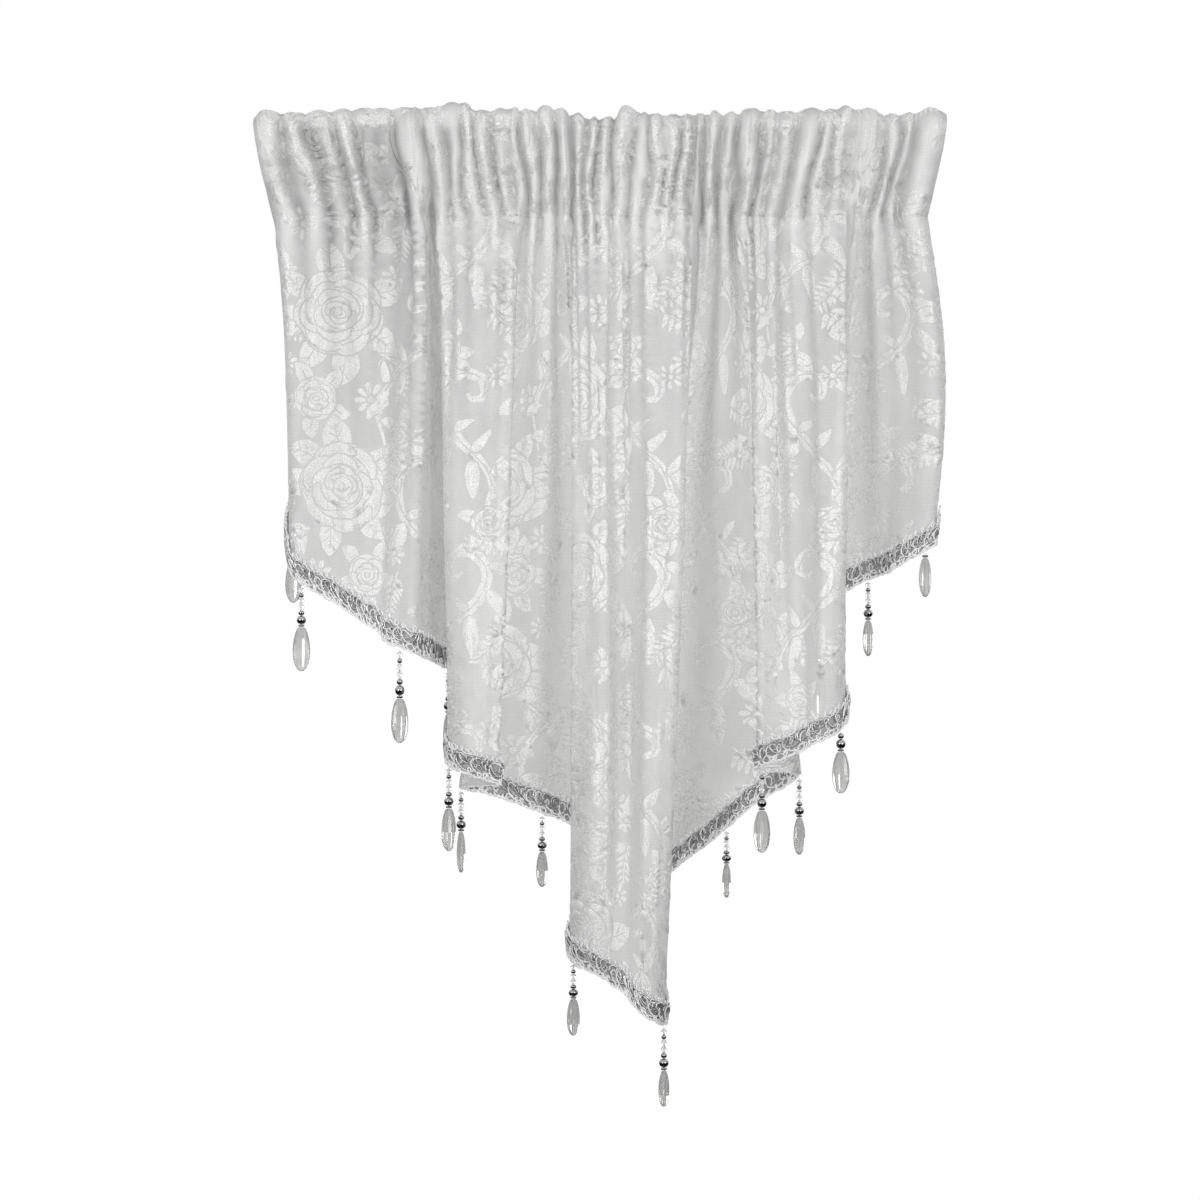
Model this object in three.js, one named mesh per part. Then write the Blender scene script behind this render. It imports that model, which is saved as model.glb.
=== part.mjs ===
// A beaded lace valance: a rod-pocket heading drawn up in gathers, a lace panel that hangs from it in uneven
// pleats to a V-shaped hem, a braid sewn along the hem, and bead pendants that hang from the braid.
// Millimetres, +Z up, +X to the right seen from the front, -Y towards the viewer.
// The origin is level with the heading's top edge, above the middle of the stitching.
import * as THREE from "three";

// Driving dimensions
const CLOTH = 1.2; // thickness of the lace
const GAP = 0.3; // between pieces that are sewn or strung together
const SEAM_DROP = 73; // top edge down to the stitching under the rod pocket
const HEADING_WIDTH = 466; // across the gathers at the rod
const SEAM_WIDTH = 440; // across the gathers at the stitching
const HEADING_TOP = -6; // height of the rod pocket under a flat gather
const BRAID_HEIGHT = 19;
const BRAID_THICKNESS = 1.6;
const BRAID_BELOW_HEM = 1.5;
const THREAD_RADIUS = 0.6;
const DROP_WIDTH = 11.6; // clear bead at the end of a pendant
const DROP_THICKNESS = 6;

// Smoothness of the solids
const STEPS_PER_FOLD = 3;
const PANEL_ROWS = 10;
const ROW_CROWDING = 1.2;
const STRING_SIDES = 6;
const DROP_SIDES = 8;

const LACE = new THREE.MeshStandardMaterial({ color: 0xe6e6e2, roughness: 0.85, metalness: 0 });
const BRAID = new THREE.MeshStandardMaterial({ color: 0xa9a9a6, roughness: 0.4, metalness: 0.6 });
const SILVER = new THREE.MeshStandardMaterial({ color: 0x8d8d8f, roughness: 0.2, metalness: 1 });
const CLEAR = new THREE.MeshStandardMaterial({ color: 0xd4d5d1, roughness: 0.1, metalness: 0 });

// Each row is one fold line of the lace, from the left side edge to the right one.
// seam: its place in plan at the stitching; hem: its place in plan at the hem.
// drop: how far the hem hangs below the top edge there.
// bow and sink: how far the line swings sideways and sinks back half-way down.
const FOLD_COLUMNS = ["seamX", "seamY", "hemX", "hemY", "drop", "bow", "sink"];
const FOLDS = [
  [-220, 2, -199, 38, 256, 0, 0], // left side edge, turned back
  [-217, 0, -209, 12, 284, 1.5, 0],
  [-211, -4, -202, -12, 314, 0, 0], // wide left pleat
  [-181, -7, -172, -21, 333, 0, 0],
  [-145, 3, -144, -14, 353, 0, 6],
  [-123, -8, -128, -26, 362, 4, 0],
  [-117, 4, -113, 2, 370, 2, 0], // hollow beside it, running behind the next pleat
  [-115, 6, -95, 26, 380, 0, 0],
  [-113, 6, -73, 28, 396, 0, 0],
  [-111, 2, -82, 11, 415, 0, 0],
  [-108, -4, -102, -12, 434, 0, 0], // narrow pleat
  [-83, -8, -86, -37, 443, 0, 4],
  [-57, -7, -68, -33, 450, 2, 0],
  [-54, -3, -76, -21, 451, 0, 0],
  [-51, 2, -95, -11, 453, 0, 0],
  [-47, 5, -78, 0, 457, 0, 0],
  [-38, 6, -50, 6, 467, 0, 0], // hollow left of the middle
  [-28, 6, -20, 20, 481, 0, 0],
  [-24, 5, 2, 26, 502, 0, 0],
  [-21, 1, -4, 8, 530, 0, 0],
  [-19, -5, -21, -24, 562, 0, 0], // middle pleat, down to the point of the V
  [-3, -9, 0, -44, 575, 0, 0],
  [13, -1, 17, -44, 588, 0, 16],
  [36, -8, 31, -48, 602, 0, 0],
  [59, -8, 40.5, -38, 607, 2, 0],
  [63, -3, 36, -18, 588, 0, 0],
  [66, 2, 29, 4, 560, 0, 0],
  [69, 6, 26, 26, 534, 0, 0],
  [73, 7, 42, 34, 518, 0, 0], // hollow right of the middle
  [83, 5, 74, 16, 490, 0, 0],
  [88, 4, 102, 6, 465, 0, 0],
  [91, 2, 133, 2, 445, 0, 0],
  [94, -1, 124, -12, 443, 0, 0],
  [98, -5, 102, -22, 440, 0, 0], // right pleat
  [112, -8, 120, -38, 432, 0, 0],
  [124, 0, 136, -38, 425, 0, 10],
  [142, -7, 150, -42, 417, 0, 0],
  [161, -8, 160, -32, 407, 0, 0],
  [164, -3, 153, -12, 386, 0, 0],
  [167, 2, 146, 6, 364, 0, 0],
  [170, 6, 148, 26, 340, 0, 0],
  [176, 6, 170, 26, 319, 2, 0], // outer right hollow
  [190, -4, 195, 8, 308, 5, 0],
  [208, -5, 218, 2, 293, 9, 0],
  [217.5, 4, 224, 18, 281, 9, 0], // right side edge
].map((row) => Object.fromEntries(FOLD_COLUMNS.map((column, i) => [column, row[i]])));

// Each row is one gather of the heading, from left to right: its width along the rod, how far it stands up at
// the top edge and out at the front, and how far it leans to the right on its way down to the stitching.
const GATHER_COLUMNS = ["width", "proud", "front", "lean"];
const GATHERS = [
  [19, 4.5, 5, 0], [18, 3, 5, 3], [29, 5, 5.5, 8], [29, 5.5, -2, 5], [18, 6.5, 8, 1], [13, 7, 6, 0],
  [10, 10, 1, 1], [10, 9.5, 6, 3], [13, 4.5, 8, 6], [11, 6, 1, 5], [9, 6.5, 2, 2], [10, 5, 4, 0],
  [11, 7.5, 4, 1], [11, 5.5, 8, 2], [11, 2, 0, 0], [10, -1, 4, -2], [12, 0, 7, -5], [12, 8, 8, -6],
  [9, 3.5, 3, -4], [9, 1.5, 6, -2], [9, 1.5, 6, -1], [11, 2, 5, 0], [8, 2, -2, 1], [11, 3.5, 5, 3],
  [13, 2.5, 0, 0], [14, 5.5, 7, -3], [9, 4.5, -1, -3], [15, 4, 1, -4], [17, 6, 8, -6], [11, 5, 3, -4],
  [9, 7.5, 2, -1], [21, 5.5, 3, 0], [9, 2, 5, -1], [10, 2.5, 0, 0], [25, 5.5, 5, 0],
].map((row) => Object.fromEntries(GATHER_COLUMNS.map((column, i) => [column, row[i]])));
const HOLLOW = 2.5; // a hollow between two gathers lies this far below the lower one at the top edge,
const FRONT_HOLLOW = 3.5; // and this far behind the lower one on the face of the heading
const CREST_DEPTH = 20; // a gather stands out by its full front from this far below the top edge
const END_SAG = -3; // the two open ends sink in
const WIDE_GATHER = 12; // a gather this wide or wider has two points across its crest

// The rod pocket in section, from the stitching up: depth below HEADING_TOP, and half the width there.
const POCKET_COLUMNS = ["below", "half"];
const POCKET = [
  [SEAM_DROP + HEADING_TOP - GAP / 2, CLOTH],
  [53, 7],
  [39, 11],
  [20, 12.5],
  [6, 10.5],
].map((row) => Object.fromEntries(POCKET_COLUMNS.map((column, i) => [column, row[i]])));
const POCKET_SET_BACK = 4; // the middle of the rod pocket lies this far behind the stitching
const SIDE_CURVE = 1.4; // the heading's sides draw in towards the stitching along this power of the depth
const SEAM_REACH = 34; // the folds of the panel carry on this far up into the heading

// Each row is one pendant: the fold line that it hangs from, counted along FOLDS, its turn about its thread in
// degrees, how many of its beads hang clear of the braid, and the lengths of its string and of its clear drop.
const PENDANT_COLUMNS = ["fold", "turn", "shown", "string", "drop"];
const PENDANTS = [
  [0.6, 20, 6, 27, 28],
  [2.15, 10, 6, 27, 29],
  [4.7, -8, 6, 32, 29],
  [6.5, 70, 6, 28, 28],
  [10.3, 35, 6, 27, 28],
  [14, 80, 6, 27, 27],
  [16.3, 60, 6, 24, 23.5],
  [18, 15, 6, 27, 27],
  [20.25, 50, 6, 23, 24],
  [23.8, 65, 6, 28, 23.5],
  [26.5, 30, 6, 25, 25],
  [29.36, 75, 6, 22, 22.5],
  [31, 55, 6, 26, 24.5],
  [33.4, 15, 6, 28, 27.5],
  [36.45, 5, 3, 13, 27],
  [39.5, 40, 6, 27, 27],
  [41.4, 62, 6, 26, 24],
  [42.85, 48, 1, 2.8, 26],
].map((row) => Object.fromEntries(PENDANT_COLUMNS.map((column, i) => [column, row[i]])));

// The string of beads from the top down: length and radius of each bead, with the thread showing between them.
const BEAD_COLUMNS = ["length", "radius"];
const BEADS = [
  [4, 1.9], // clear beads
  [3, 1.6], // small silver bead
  [8.8, 1.9], // clear beads
  [3.6, 2], // small silver bead
  [6, 3.1], // large silver bead
  [1.8, 2.1], // silver cap on the drop
].map((row) => Object.fromEntries(BEAD_COLUMNS.map((column, i) => [column, row[i]])));
const BARE_THREAD = 1.4; // thread between the braid and the first bead

const lerp = THREE.MathUtils.lerp;

// The guide curves of the lace run through the fold lines: the stitching, the hem, and the swing between them.
const seamCurve = new THREE.CatmullRomCurve3(
  FOLDS.map((f) => new THREE.Vector3(f.seamX, f.seamY, -SEAM_DROP - GAP / 2)),
);
const hemCurve = new THREE.CatmullRomCurve3(FOLDS.map((f) => new THREE.Vector3(f.hemX, f.hemY, -f.drop)));
const swingCurve = new THREE.CatmullRomCurve3(FOLDS.map((f, i) => new THREE.Vector3(f.bow, f.sink, i)));

// The middle of the lace at a place along the folds (0 to 1) and a share of the way from stitching to hem.
function lacePoint(along, share) {
  const seam = seamCurve.getPoint(along);
  const hem = hemCurve.getPoint(along);
  const swing = swingCurve.getPoint(along).multiplyScalar(Math.sin(Math.PI * Math.min(share, 1)));
  const opened = share < 1 ? 1 - (1 - share) ** 2 : 1; // the pleats open quickly below the heading
  return new THREE.Vector3(
    lerp(seam.x, hem.x, share) + swing.x,
    lerp(seam.y, hem.y, opened) + swing.y,
    lerp(seam.z, hem.z, share),
  );
}

// The way the right side of the lace faces there: towards the viewer on the front of a pleat.
function laceNormal(along, share) {
  const step = 1e-3;
  const [a0, a1] = [Math.max(along - step, 0), Math.min(along + step, 1)];
  const [s0, s1] = [Math.min(share, 1) - step, Math.min(share, 1)];
  const across = lacePoint(a1, share).sub(lacePoint(a0, share));
  const down = lacePoint(along, s1).sub(lacePoint(along, s0));
  return down.cross(across).normalize();
}

function meshOf(name, points, triangles, material) {
  const geometry = new THREE.BufferGeometry().setFromPoints(points);
  geometry.setIndex(triangles.flat());
  geometry.computeVertexNormals();
  const mesh = new THREE.Mesh(geometry, material);
  mesh.name = name;
  return mesh;
}

// A closed sheet between two faces, each a grid of points that runs across and down.
function sheetMesh(name, across, down, facePoint, backPoint, material) {
  const points = [];
  for (const place of [facePoint, backPoint]) {
    for (let i = 0; i <= across; i++) {
      for (let j = 0; j <= down; j++) points.push(place(i / across, j / down));
    }
  }
  const back = (across + 1) * (down + 1);
  const at = (i, j) => i * (down + 1) + j;
  const triangles = [];
  const quad = (a, b, c, d) => triangles.push([a, b, c], [a, c, d]);
  for (let i = 0; i < across; i++) {
    for (let j = 0; j < down; j++) {
      quad(at(i, j), at(i, j + 1), at(i + 1, j + 1), at(i + 1, j));
      quad(back + at(i, j), back + at(i + 1, j), back + at(i + 1, j + 1), back + at(i, j + 1));
    }
    quad(at(i, 0), at(i + 1, 0), back + at(i + 1, 0), back + at(i, 0));
    quad(at(i, down), back + at(i, down), back + at(i + 1, down), at(i + 1, down));
  }
  for (let j = 0; j < down; j++) {
    quad(at(0, j), back + at(0, j), back + at(0, j + 1), at(0, j + 1));
    quad(at(across, j), at(across, j + 1), back + at(across, j + 1), back + at(across, j));
  }
  return meshOf(name, points, triangles, material);
}

const FOLD_STEPS = (FOLDS.length - 1) * STEPS_PER_FOLD;

// The share of the way from stitching to hem of a line on the braid, at a height above its lower edge.
function braidShare(along, height) {
  const hung = -hemCurve.getPoint(along).z - SEAM_DROP;
  return 1 + (BRAID_BELOW_HEM - height) / hung;
}

// The last row of the panel lies under the braid, and the rows above lie closer together near the gathers.
function makePanel() {
  const face = (side) => (along, down) => {
    const above = (down * PANEL_ROWS) / (PANEL_ROWS - 1);
    const share = down < 1 ? above ** ROW_CROWDING * braidShare(along, BRAID_HEIGHT) : 1;
    const out = laceNormal(along, share);
    if (down === 0) out.setZ(0).normalize(); // the top edge is level, a GAP below the heading
    return lacePoint(along, share).addScaledVector(out, (side * CLOTH) / 2);
  };
  return sheetMesh("lace_panel", FOLD_STEPS, PANEL_ROWS, face(1), face(-1), LACE);
}

// A place on the braid: share of its height from its top edge down, and how far out from its back.
function braidPoint(along, down, out) {
  const share = braidShare(along, BRAID_HEIGHT * (1 - down));
  return lacePoint(along, share).addScaledVector(laceNormal(along, share), CLOTH / 2 + GAP + out);
}

function makeBraid() {
  const front = (along, down) => braidPoint(along, down, BRAID_THICKNESS);
  const back = (along, down) => braidPoint(along, down, 0);
  return sheetMesh("hem_braid", FOLD_STEPS, 1, front, back, BRAID);
}

// Where the gathers' hollows and crests lie along the rod, and how far they stand out.
function gatherPoints() {
  const end = { proud: END_SAG, front: END_SAG, lean: 0 };
  const points = [{ x: -HEADING_WIDTH / 2, ...end }];
  let x = -HEADING_WIDTH / 2;
  GATHERS.forEach(({ width, proud, front, lean }, i) => {
    const crests = width < WIDE_GATHER ? [0.5] : [0.25, 0.7];
    for (const crest of crests) points.push({ x: x + width * crest, proud, front, lean });
    x += width;
    const next = GATHERS[i + 1];
    const hollow = next && {
      proud: Math.min(proud, next.proud) - HOLLOW,
      front: Math.min(front, next.front) - FRONT_HOLLOW,
      lean: (lean + next.lean) / 2,
    };
    points.push({ x, ...(hollow ?? end) });
  });
  return points;
}

// The depth of the panel's folds at the stitching, at a place across.
const seamSamples = seamCurve.getPoints(FOLD_STEPS);
function seamDepth(x) {
  const right = Math.max(1, seamSamples.findIndex((p) => p.x >= x));
  const [a, b] = [seamSamples[right - 1], seamSamples[right]];
  return lerp(a.y, b.y, THREE.MathUtils.clamp((x - a.x) / (b.x - a.x), 0, 1));
}

// The closed section of the rod pocket at one gather point, inset from its outer face.
function pocketLoop({ x, proud, front, lean }, inset) {
  const wall = POCKET.map(({ below, half }, k) => {
    const z = HEADING_TOP - below;
    const down = -z / SEAM_DROP;
    const rise = THREE.MathUtils.clamp((SEAM_DROP + z) / SEAM_REACH, 0, 1);
    const narrowed = 1 - (1 - SEAM_WIDTH / HEADING_WIDTH) * down ** SIDE_CURVE;
    const across = (x + lean * down) * narrowed;
    const middle = lerp(seamDepth(across), POCKET_SET_BACK, rise);
    const swell = lerp(proud, front, Math.min(below / CREST_DEPTH, 1)) * rise;
    const out = half + swell - inset * (k === 0 ? 0.5 : 1);
    return { x: across, out, middle, z: z + (k === 0 ? inset * 2 : 0) };
  });
  const top = new THREE.Vector3(x, POCKET_SET_BACK, HEADING_TOP + proud - inset);
  return [
    ...wall.map((p) => new THREE.Vector3(p.x, p.middle - p.out, p.z)),
    top,
    ...wall.reverse().map((p) => new THREE.Vector3(p.x, p.middle + p.out, p.z)),
  ];
}

// The heading is a gathered tube, open at both ends for the rod.
function makeHeading() {
  const columns = gatherPoints();
  const around = 2 * POCKET.length + 1;
  const points = [0, CLOTH].flatMap((inset) => columns.flatMap((column) => pocketLoop(column, inset)));
  const inner = columns.length * around;
  const at = (i, k) => i * around + (k % around);
  const triangles = [];
  const quad = (a, b, c, d) => triangles.push([a, b, c], [a, c, d]);
  for (let k = 0; k < around; k++) {
    for (let i = 0; i < columns.length - 1; i++) {
      quad(at(i, k), at(i + 1, k), at(i + 1, k + 1), at(i, k + 1));
      quad(inner + at(i, k), inner + at(i, k + 1), inner + at(i + 1, k + 1), inner + at(i + 1, k));
    }
    const last = columns.length - 1;
    quad(at(0, k), at(0, k + 1), inner + at(0, k + 1), inner + at(0, k));
    quad(at(last, k), inner + at(last, k), inner + at(last, k + 1), at(last, k + 1));
  }
  return meshOf("rod_pocket_heading", points, triangles, LACE);
}

// Outline of a string of beads in half section, from its lower end at 0 up to its top.
function stringProfile(beads, length) {
  const stretch = length / (BARE_THREAD + beads.reduce((sum, bead) => sum + bead.length, 0));
  const outline = [new THREE.Vector2(0, length), new THREE.Vector2(THREAD_RADIUS, length)];
  let z = length - BARE_THREAD * stretch;
  for (const bead of beads) {
    const half = (bead.length * stretch) / 2;
    outline.push(new THREE.Vector2(THREAD_RADIUS, z), new THREE.Vector2(bead.radius, z - half));
    z -= 2 * half;
  }
  outline.push(new THREE.Vector2(THREAD_RADIUS, 0), new THREE.Vector2(0, 0));
  return outline.reverse();
}

// Half section of the clear drop, a long oval: shares of its length from the tip and of its half width.
const DROP_COLUMNS = ["up", "out"];
const DROP_STATIONS = [
  [0, 0], [0, 0.2], [0.1, 0.62], [0.28, 0.93], [0.46, 1], [0.72, 0.88], [0.93, 0.6], [1, 0.36], [1, 0],
].map((row) => Object.fromEntries(DROP_COLUMNS.map((column, i) => [column, row[i]])));

function turnedMesh(name, profile, sides, material) {
  const geometry = new THREE.LatheGeometry(profile, sides).rotateX(Math.PI / 2);
  const mesh = new THREE.Mesh(geometry, material);
  mesh.name = name;
  return mesh;
}

// A place on the middle of the braid's lower edge, on the straight run between two fold steps.
function braidEdge(along) {
  const step = Math.min(Math.floor(along * FOLD_STEPS), FOLD_STEPS - 1);
  const [a, b] = [step, step + 1].map((k) => braidPoint(k / FOLD_STEPS, 1, BRAID_THICKNESS / 2));
  return a.lerp(b, along * FOLD_STEPS - step);
}

// A pendant's thread starts just under the lowest bit of braid above it.
function pendantTop(along) {
  const top = braidEdge(along);
  const reach = THREAD_RADIUS + GAP;
  const span = 1 / FOLD_STEPS;
  const tries = 40;
  let lowest = top.z;
  for (let k = -tries; k <= tries; k++) {
    const near = braidEdge(THREE.MathUtils.clamp(along + (span * k) / tries, 0, 1));
    if (Math.hypot(near.x - top.x, near.y - top.y) < reach) lowest = Math.min(lowest, near.z);
  }
  return top.setZ(lowest - GAP);
}

function makePendant({ fold, turn, shown, string, drop }, number) {
  const label = String(number).padStart(2, "0");
  const profile = stringProfile(BEADS.slice(-shown), string);
  const beads = turnedMesh(`bead_string_${label}`, profile, STRING_SIDES, SILVER);
  beads.position.z = -string;
  const dropProfile = DROP_STATIONS.map(({ up, out }) => new THREE.Vector2((out * DROP_WIDTH) / 2, up * drop));
  const clear = turnedMesh(`clear_drop_${label}`, dropProfile, DROP_SIDES, CLEAR);
  clear.scale.y = DROP_THICKNESS / DROP_WIDTH;
  clear.position.z = -string - GAP - drop;

  const pendant = new THREE.Group();
  pendant.add(beads, clear);
  pendant.position.copy(pendantTop(fold / (FOLDS.length - 1)));
  pendant.rotation.z = THREE.MathUtils.degToRad(turn);
  return pendant;
}

const valance = new THREE.Group();
valance.add(makeHeading(), makePanel(), makeBraid());
PENDANTS.forEach((pendant, i) => valance.add(makePendant(pendant, i + 1)));

export default valance;
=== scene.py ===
import math
import random

import bpy
import numpy as np
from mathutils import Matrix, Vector
from mathutils.geometry import delaunay_2d_cdt


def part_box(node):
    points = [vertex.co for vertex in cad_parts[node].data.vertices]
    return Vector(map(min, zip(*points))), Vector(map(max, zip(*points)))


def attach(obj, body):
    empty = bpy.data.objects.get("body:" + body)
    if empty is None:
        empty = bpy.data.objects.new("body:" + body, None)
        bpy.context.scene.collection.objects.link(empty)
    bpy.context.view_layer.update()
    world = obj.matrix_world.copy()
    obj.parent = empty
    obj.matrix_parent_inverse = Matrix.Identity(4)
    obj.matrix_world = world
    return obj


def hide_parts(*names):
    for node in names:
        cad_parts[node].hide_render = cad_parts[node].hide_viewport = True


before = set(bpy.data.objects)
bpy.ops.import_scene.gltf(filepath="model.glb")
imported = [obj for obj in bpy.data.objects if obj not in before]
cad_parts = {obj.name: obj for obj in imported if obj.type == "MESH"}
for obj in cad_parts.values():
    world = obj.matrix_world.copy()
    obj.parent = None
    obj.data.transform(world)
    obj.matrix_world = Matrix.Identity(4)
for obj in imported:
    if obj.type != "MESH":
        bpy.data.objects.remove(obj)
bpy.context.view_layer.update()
mm = 0.001  # every size below is in millimetres, with X across, -Y to the front and Z up


# mesh helpers
def addMesh(name, points, faces, materials, faceMaterial=None, flatPlaces=None, smooth=True, paintedShades=None):
    mesh = bpy.data.meshes.new(name)
    mesh.from_pydata((np.asarray(points) * mm).tolist(), [], [list(map(int, face)) for face in faces])
    for material in materials:
        mesh.materials.append(material)
    if faceMaterial is not None:
        mesh.polygons.foreach_set("material_index", np.asarray(faceMaterial, np.int32))
    mesh.polygons.foreach_set("use_smooth", [smooth] * len(mesh.polygons))
    if flatPlaces is not None:
        layer = mesh.uv_layers.new(name="flatCloth")
        corners = np.zeros(len(mesh.loops), np.int32)
        mesh.loops.foreach_get("vertex_index", corners)
        layer.data.foreach_set("uv", (np.asarray(flatPlaces)[corners] * mm).astype(np.float32).ravel())
    # painted shade kept on each point as the hollow attribute, which darkens the cloth colour
    if paintedShades is not None:
        mesh.attributes.new("hollow", "FLOAT", "POINT").data.foreach_set("value", paintedShades.astype(np.float32))
    mesh.update()
    piece = bpy.data.objects.new(name, mesh)
    bpy.context.scene.collection.objects.link(piece)
    return piece


class MeshStore:
    # collects many small shapes into one mesh, each with its own material number
    def __init__(self):
        self.points, self.faces, self.faceMaterial, self.count = [], [], [], 0

    def add(self, points, faces, material=0):
        self.points.append(np.asarray(points, float))
        self.faces.extend([tuple(int(k) + self.count for k in face) for face in faces])
        self.faceMaterial.extend([material] * len(faces))
        self.count += len(points)

    def piece(self, name, materials, smooth=True):
        return addMesh(name, np.vstack(self.points), self.faces, materials, self.faceMaterial, None, smooth)


def tubeFaces(rings, sides):
    # side faces from ring to ring, and a cap at each end
    faces = []
    for low in range(0, (rings - 1) * sides, sides):
        high = low + sides
        for k in range(sides):
            after = (k + 1) % sides
            faces.append((low + k, low + after, high + after, high + k))
    last = (rings - 1) * sides
    return faces + [tuple(range(sides))[::-1], tuple(range(last, last + sides))]


def tube(path, radius, sides, upright=(0.0, 0.0, 1.0)):
    # round yarn or thread along a path, with radius one number or one for each point
    path = np.asarray(path, float)
    along = np.gradient(path, axis=0)
    along /= np.linalg.norm(along, axis=1)[:, None] + 1e-9
    aside = np.cross(along, np.asarray(upright, float))
    small = np.linalg.norm(aside, axis=1) < 1e-3
    aside[small] = np.cross(along[small], (1.0, 0.0, 0.0))
    aside /= np.linalg.norm(aside, axis=1)[:, None]
    over = np.cross(aside, along)
    angles = np.linspace(0, 2 * np.pi, sides, endpoint=False)
    reach = np.broadcast_to(np.asarray(radius, float), (len(path),))[:, None, None]
    around = aside[:, None] * np.cos(angles)[None, :, None] + over[:, None] * np.sin(angles)[None, :, None]
    points = (path[:, None] + around * reach).reshape(-1, 3)
    return points, tubeFaces(len(path), sides)


def lathe(profile, sides, place, squeeze=(1.0, 1.0), turn=0.0, flute=1.0):
    # profile holds (radius, height) pairs from the bottom to the top
    # every second side has the flute's share of the radius
    angles = np.linspace(0, 2 * np.pi, sides, endpoint=False)
    shares = np.where(np.arange(sides) % 2, flute, 1.0)
    rings = []
    for reach, height in profile:
        radius = reach * shares
        x = radius * np.cos(angles) * squeeze[0]
        y = radius * np.sin(angles) * squeeze[1]
        rings.append(np.stack([x * math.cos(turn) - y * math.sin(turn),
                               x * math.sin(turn) + y * math.cos(turn),
                               np.full(sides, height)], 1))
    return np.vstack(rings) + np.asarray(place, float), tubeFaces(len(profile), sides)


# materials
def nodeGroup(name, inputs, outputs):
    group = bpy.data.node_groups.new(name, "ShaderNodeTree")
    for label, value in inputs:
        socket = group.interface.new_socket(label, in_out="INPUT", socket_type="NodeSocketFloat")
        socket.default_value = value
    for label in outputs:
        group.interface.new_socket(label, in_out="OUTPUT", socket_type="NodeSocketFloat")
    return group, group.nodes.new("NodeGroupInput"), group.nodes.new("NodeGroupOutput")


def fill(tree, socket, value):
    # a socket takes a plain value, or a link from another node's output
    if isinstance(value, bpy.types.NodeSocket):
        tree.links.new(value, socket)
    else:
        socket.default_value = value


def addNode(tree, kind, **inputs):
    node = tree.nodes.new("ShaderNode" + kind)
    for label, value in inputs.items():
        fill(tree, node.inputs[label.replace("_", " ")], value)
    return node


def mathNode(tree, operation, *values, kind="Math"):
    node = tree.nodes.new("ShaderNode" + kind)
    node.operation = operation
    for socket, value in zip(node.inputs, values):
        fill(tree, socket, value)
    return node.outputs[0]


def mapped(tree, value, ends):
    return addNode(tree, "MapRange", Value=value, To_Min=ends[0], To_Max=ends[1]).outputs["Result"]


def mixedColour(tree, share, first, second):
    node = tree.nodes.new("ShaderNodeMix")
    node.data_type = "RGBA"
    for label, value in (("Factor", share), ("A", first), ("B", second)):
        fill(tree, node.inputs[label], value)
    return node.outputs["Result"]


weave = {
    "waverScale": 240.0, "waver": 2.4,      # how often and how far the threads waver
    "weftShare": 0.7,       # height of the threads that run down, as a share of those across
    "stitchScale": 1000.0, "stitchContrast": 2.4, "stitchMiddle": 0.55,
    "mottleStretch": 0.35, "mottleContrast": 1.8,   # the mottle is drawn out along the warp
    "looseBelow": 0.06, "closeAbove": -0.01,    # metres down the cloth, drawn together in between
}


def weaveGroup():
    # crossing threads and uneven stitches on the flat cloth, as a height and a tint with a slow mottle
    # drawn out along the warp, and two masks: drawn together by the stitching, and painted shade between
    # gathers
    group, given, result = nodeGroup(
        "threads", (("Across", 700.0), ("Down", 600.0), ("Mottle", 90.0), ("Thread", 0.3), ("Stitch", 0.0)),
        ("Height", "Tint", "Gathered", "PaintedShade"))
    place = group.nodes.new("ShaderNodeUVMap")
    place.uv_map = "flatCloth"
    cloth = place.outputs["UV"]
    split = addNode(group, "SeparateXYZ", Vector=cloth)
    waver = addNode(group, "TexNoise", Vector=cloth, Scale=weave["waverScale"], Detail=2.0)
    shift = mathNode(group, "MULTIPLY", waver.outputs["Fac"], weave["waver"])
    waves = []
    for axis, count in (("X", "Across"), ("Y", "Down")):
        turns = mathNode(group, "MULTIPLY", split.outputs[axis], given.outputs[count])
        angle = mathNode(group, "MULTIPLY_ADD", turns, 2 * math.pi, shift)
        waves.append(mathNode(group, "MULTIPLY_ADD", mathNode(group, "SINE", angle), 0.5, 0.5))
    crossed = mathNode(group, "MAXIMUM", mathNode(group, "MULTIPLY", waves[0], weave["weftShare"]), waves[1])
    stitch = addNode(group, "TexNoise", Vector=cloth, Scale=weave["stitchScale"], Detail=1.0)
    uneven = mathNode(group, "MULTIPLY_ADD", mathNode(group, "SUBTRACT", stitch.outputs["Fac"], 0.5),
                      weave["stitchContrast"], weave["stitchMiddle"])
    knit = addNode(group, "Mix", Factor=given.outputs["Stitch"], A=crossed, B=uneven)
    knit.clamp_result = True
    height = knit.outputs["Result"]
    drawn = mathNode(group, "MULTIPLY", cloth, (1.0, weave["mottleStretch"], 1.0), kind="VectorMath")
    cloud = addNode(group, "TexNoise", Vector=drawn, Scale=given.outputs["Mottle"], Detail=3.0)
    mottle = mathNode(group, "MULTIPLY_ADD", mathNode(group, "SUBTRACT", cloud.outputs["Fac"], 0.5),
                      weave["mottleContrast"], 0.5)
    tint = addNode(group, "Mix", Factor=given.outputs["Thread"], A=mottle, B=height)
    gathered = addNode(group, "MapRange", Value=split.outputs["Y"], From_Min=weave["looseBelow"],
                       From_Max=weave["closeAbove"])
    gathered.interpolation_type = "SMOOTHSTEP"
    # the hollow attribute holds the painted shade between the gathers
    deep = group.nodes.new("ShaderNodeAttribute")
    deep.attribute_name = "hollow"
    for label, value in (("Height", height), ("Tint", tint.outputs["Result"]),
                         ("Gathered", gathered.outputs["Result"]), ("PaintedShade", deep.outputs["Fac"])):
        group.links.new(value, result.inputs[label])
    return group


tarnish = {"broadScale": 60.0, "fineShare": 0.65, "broadShare": 0.35}


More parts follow.
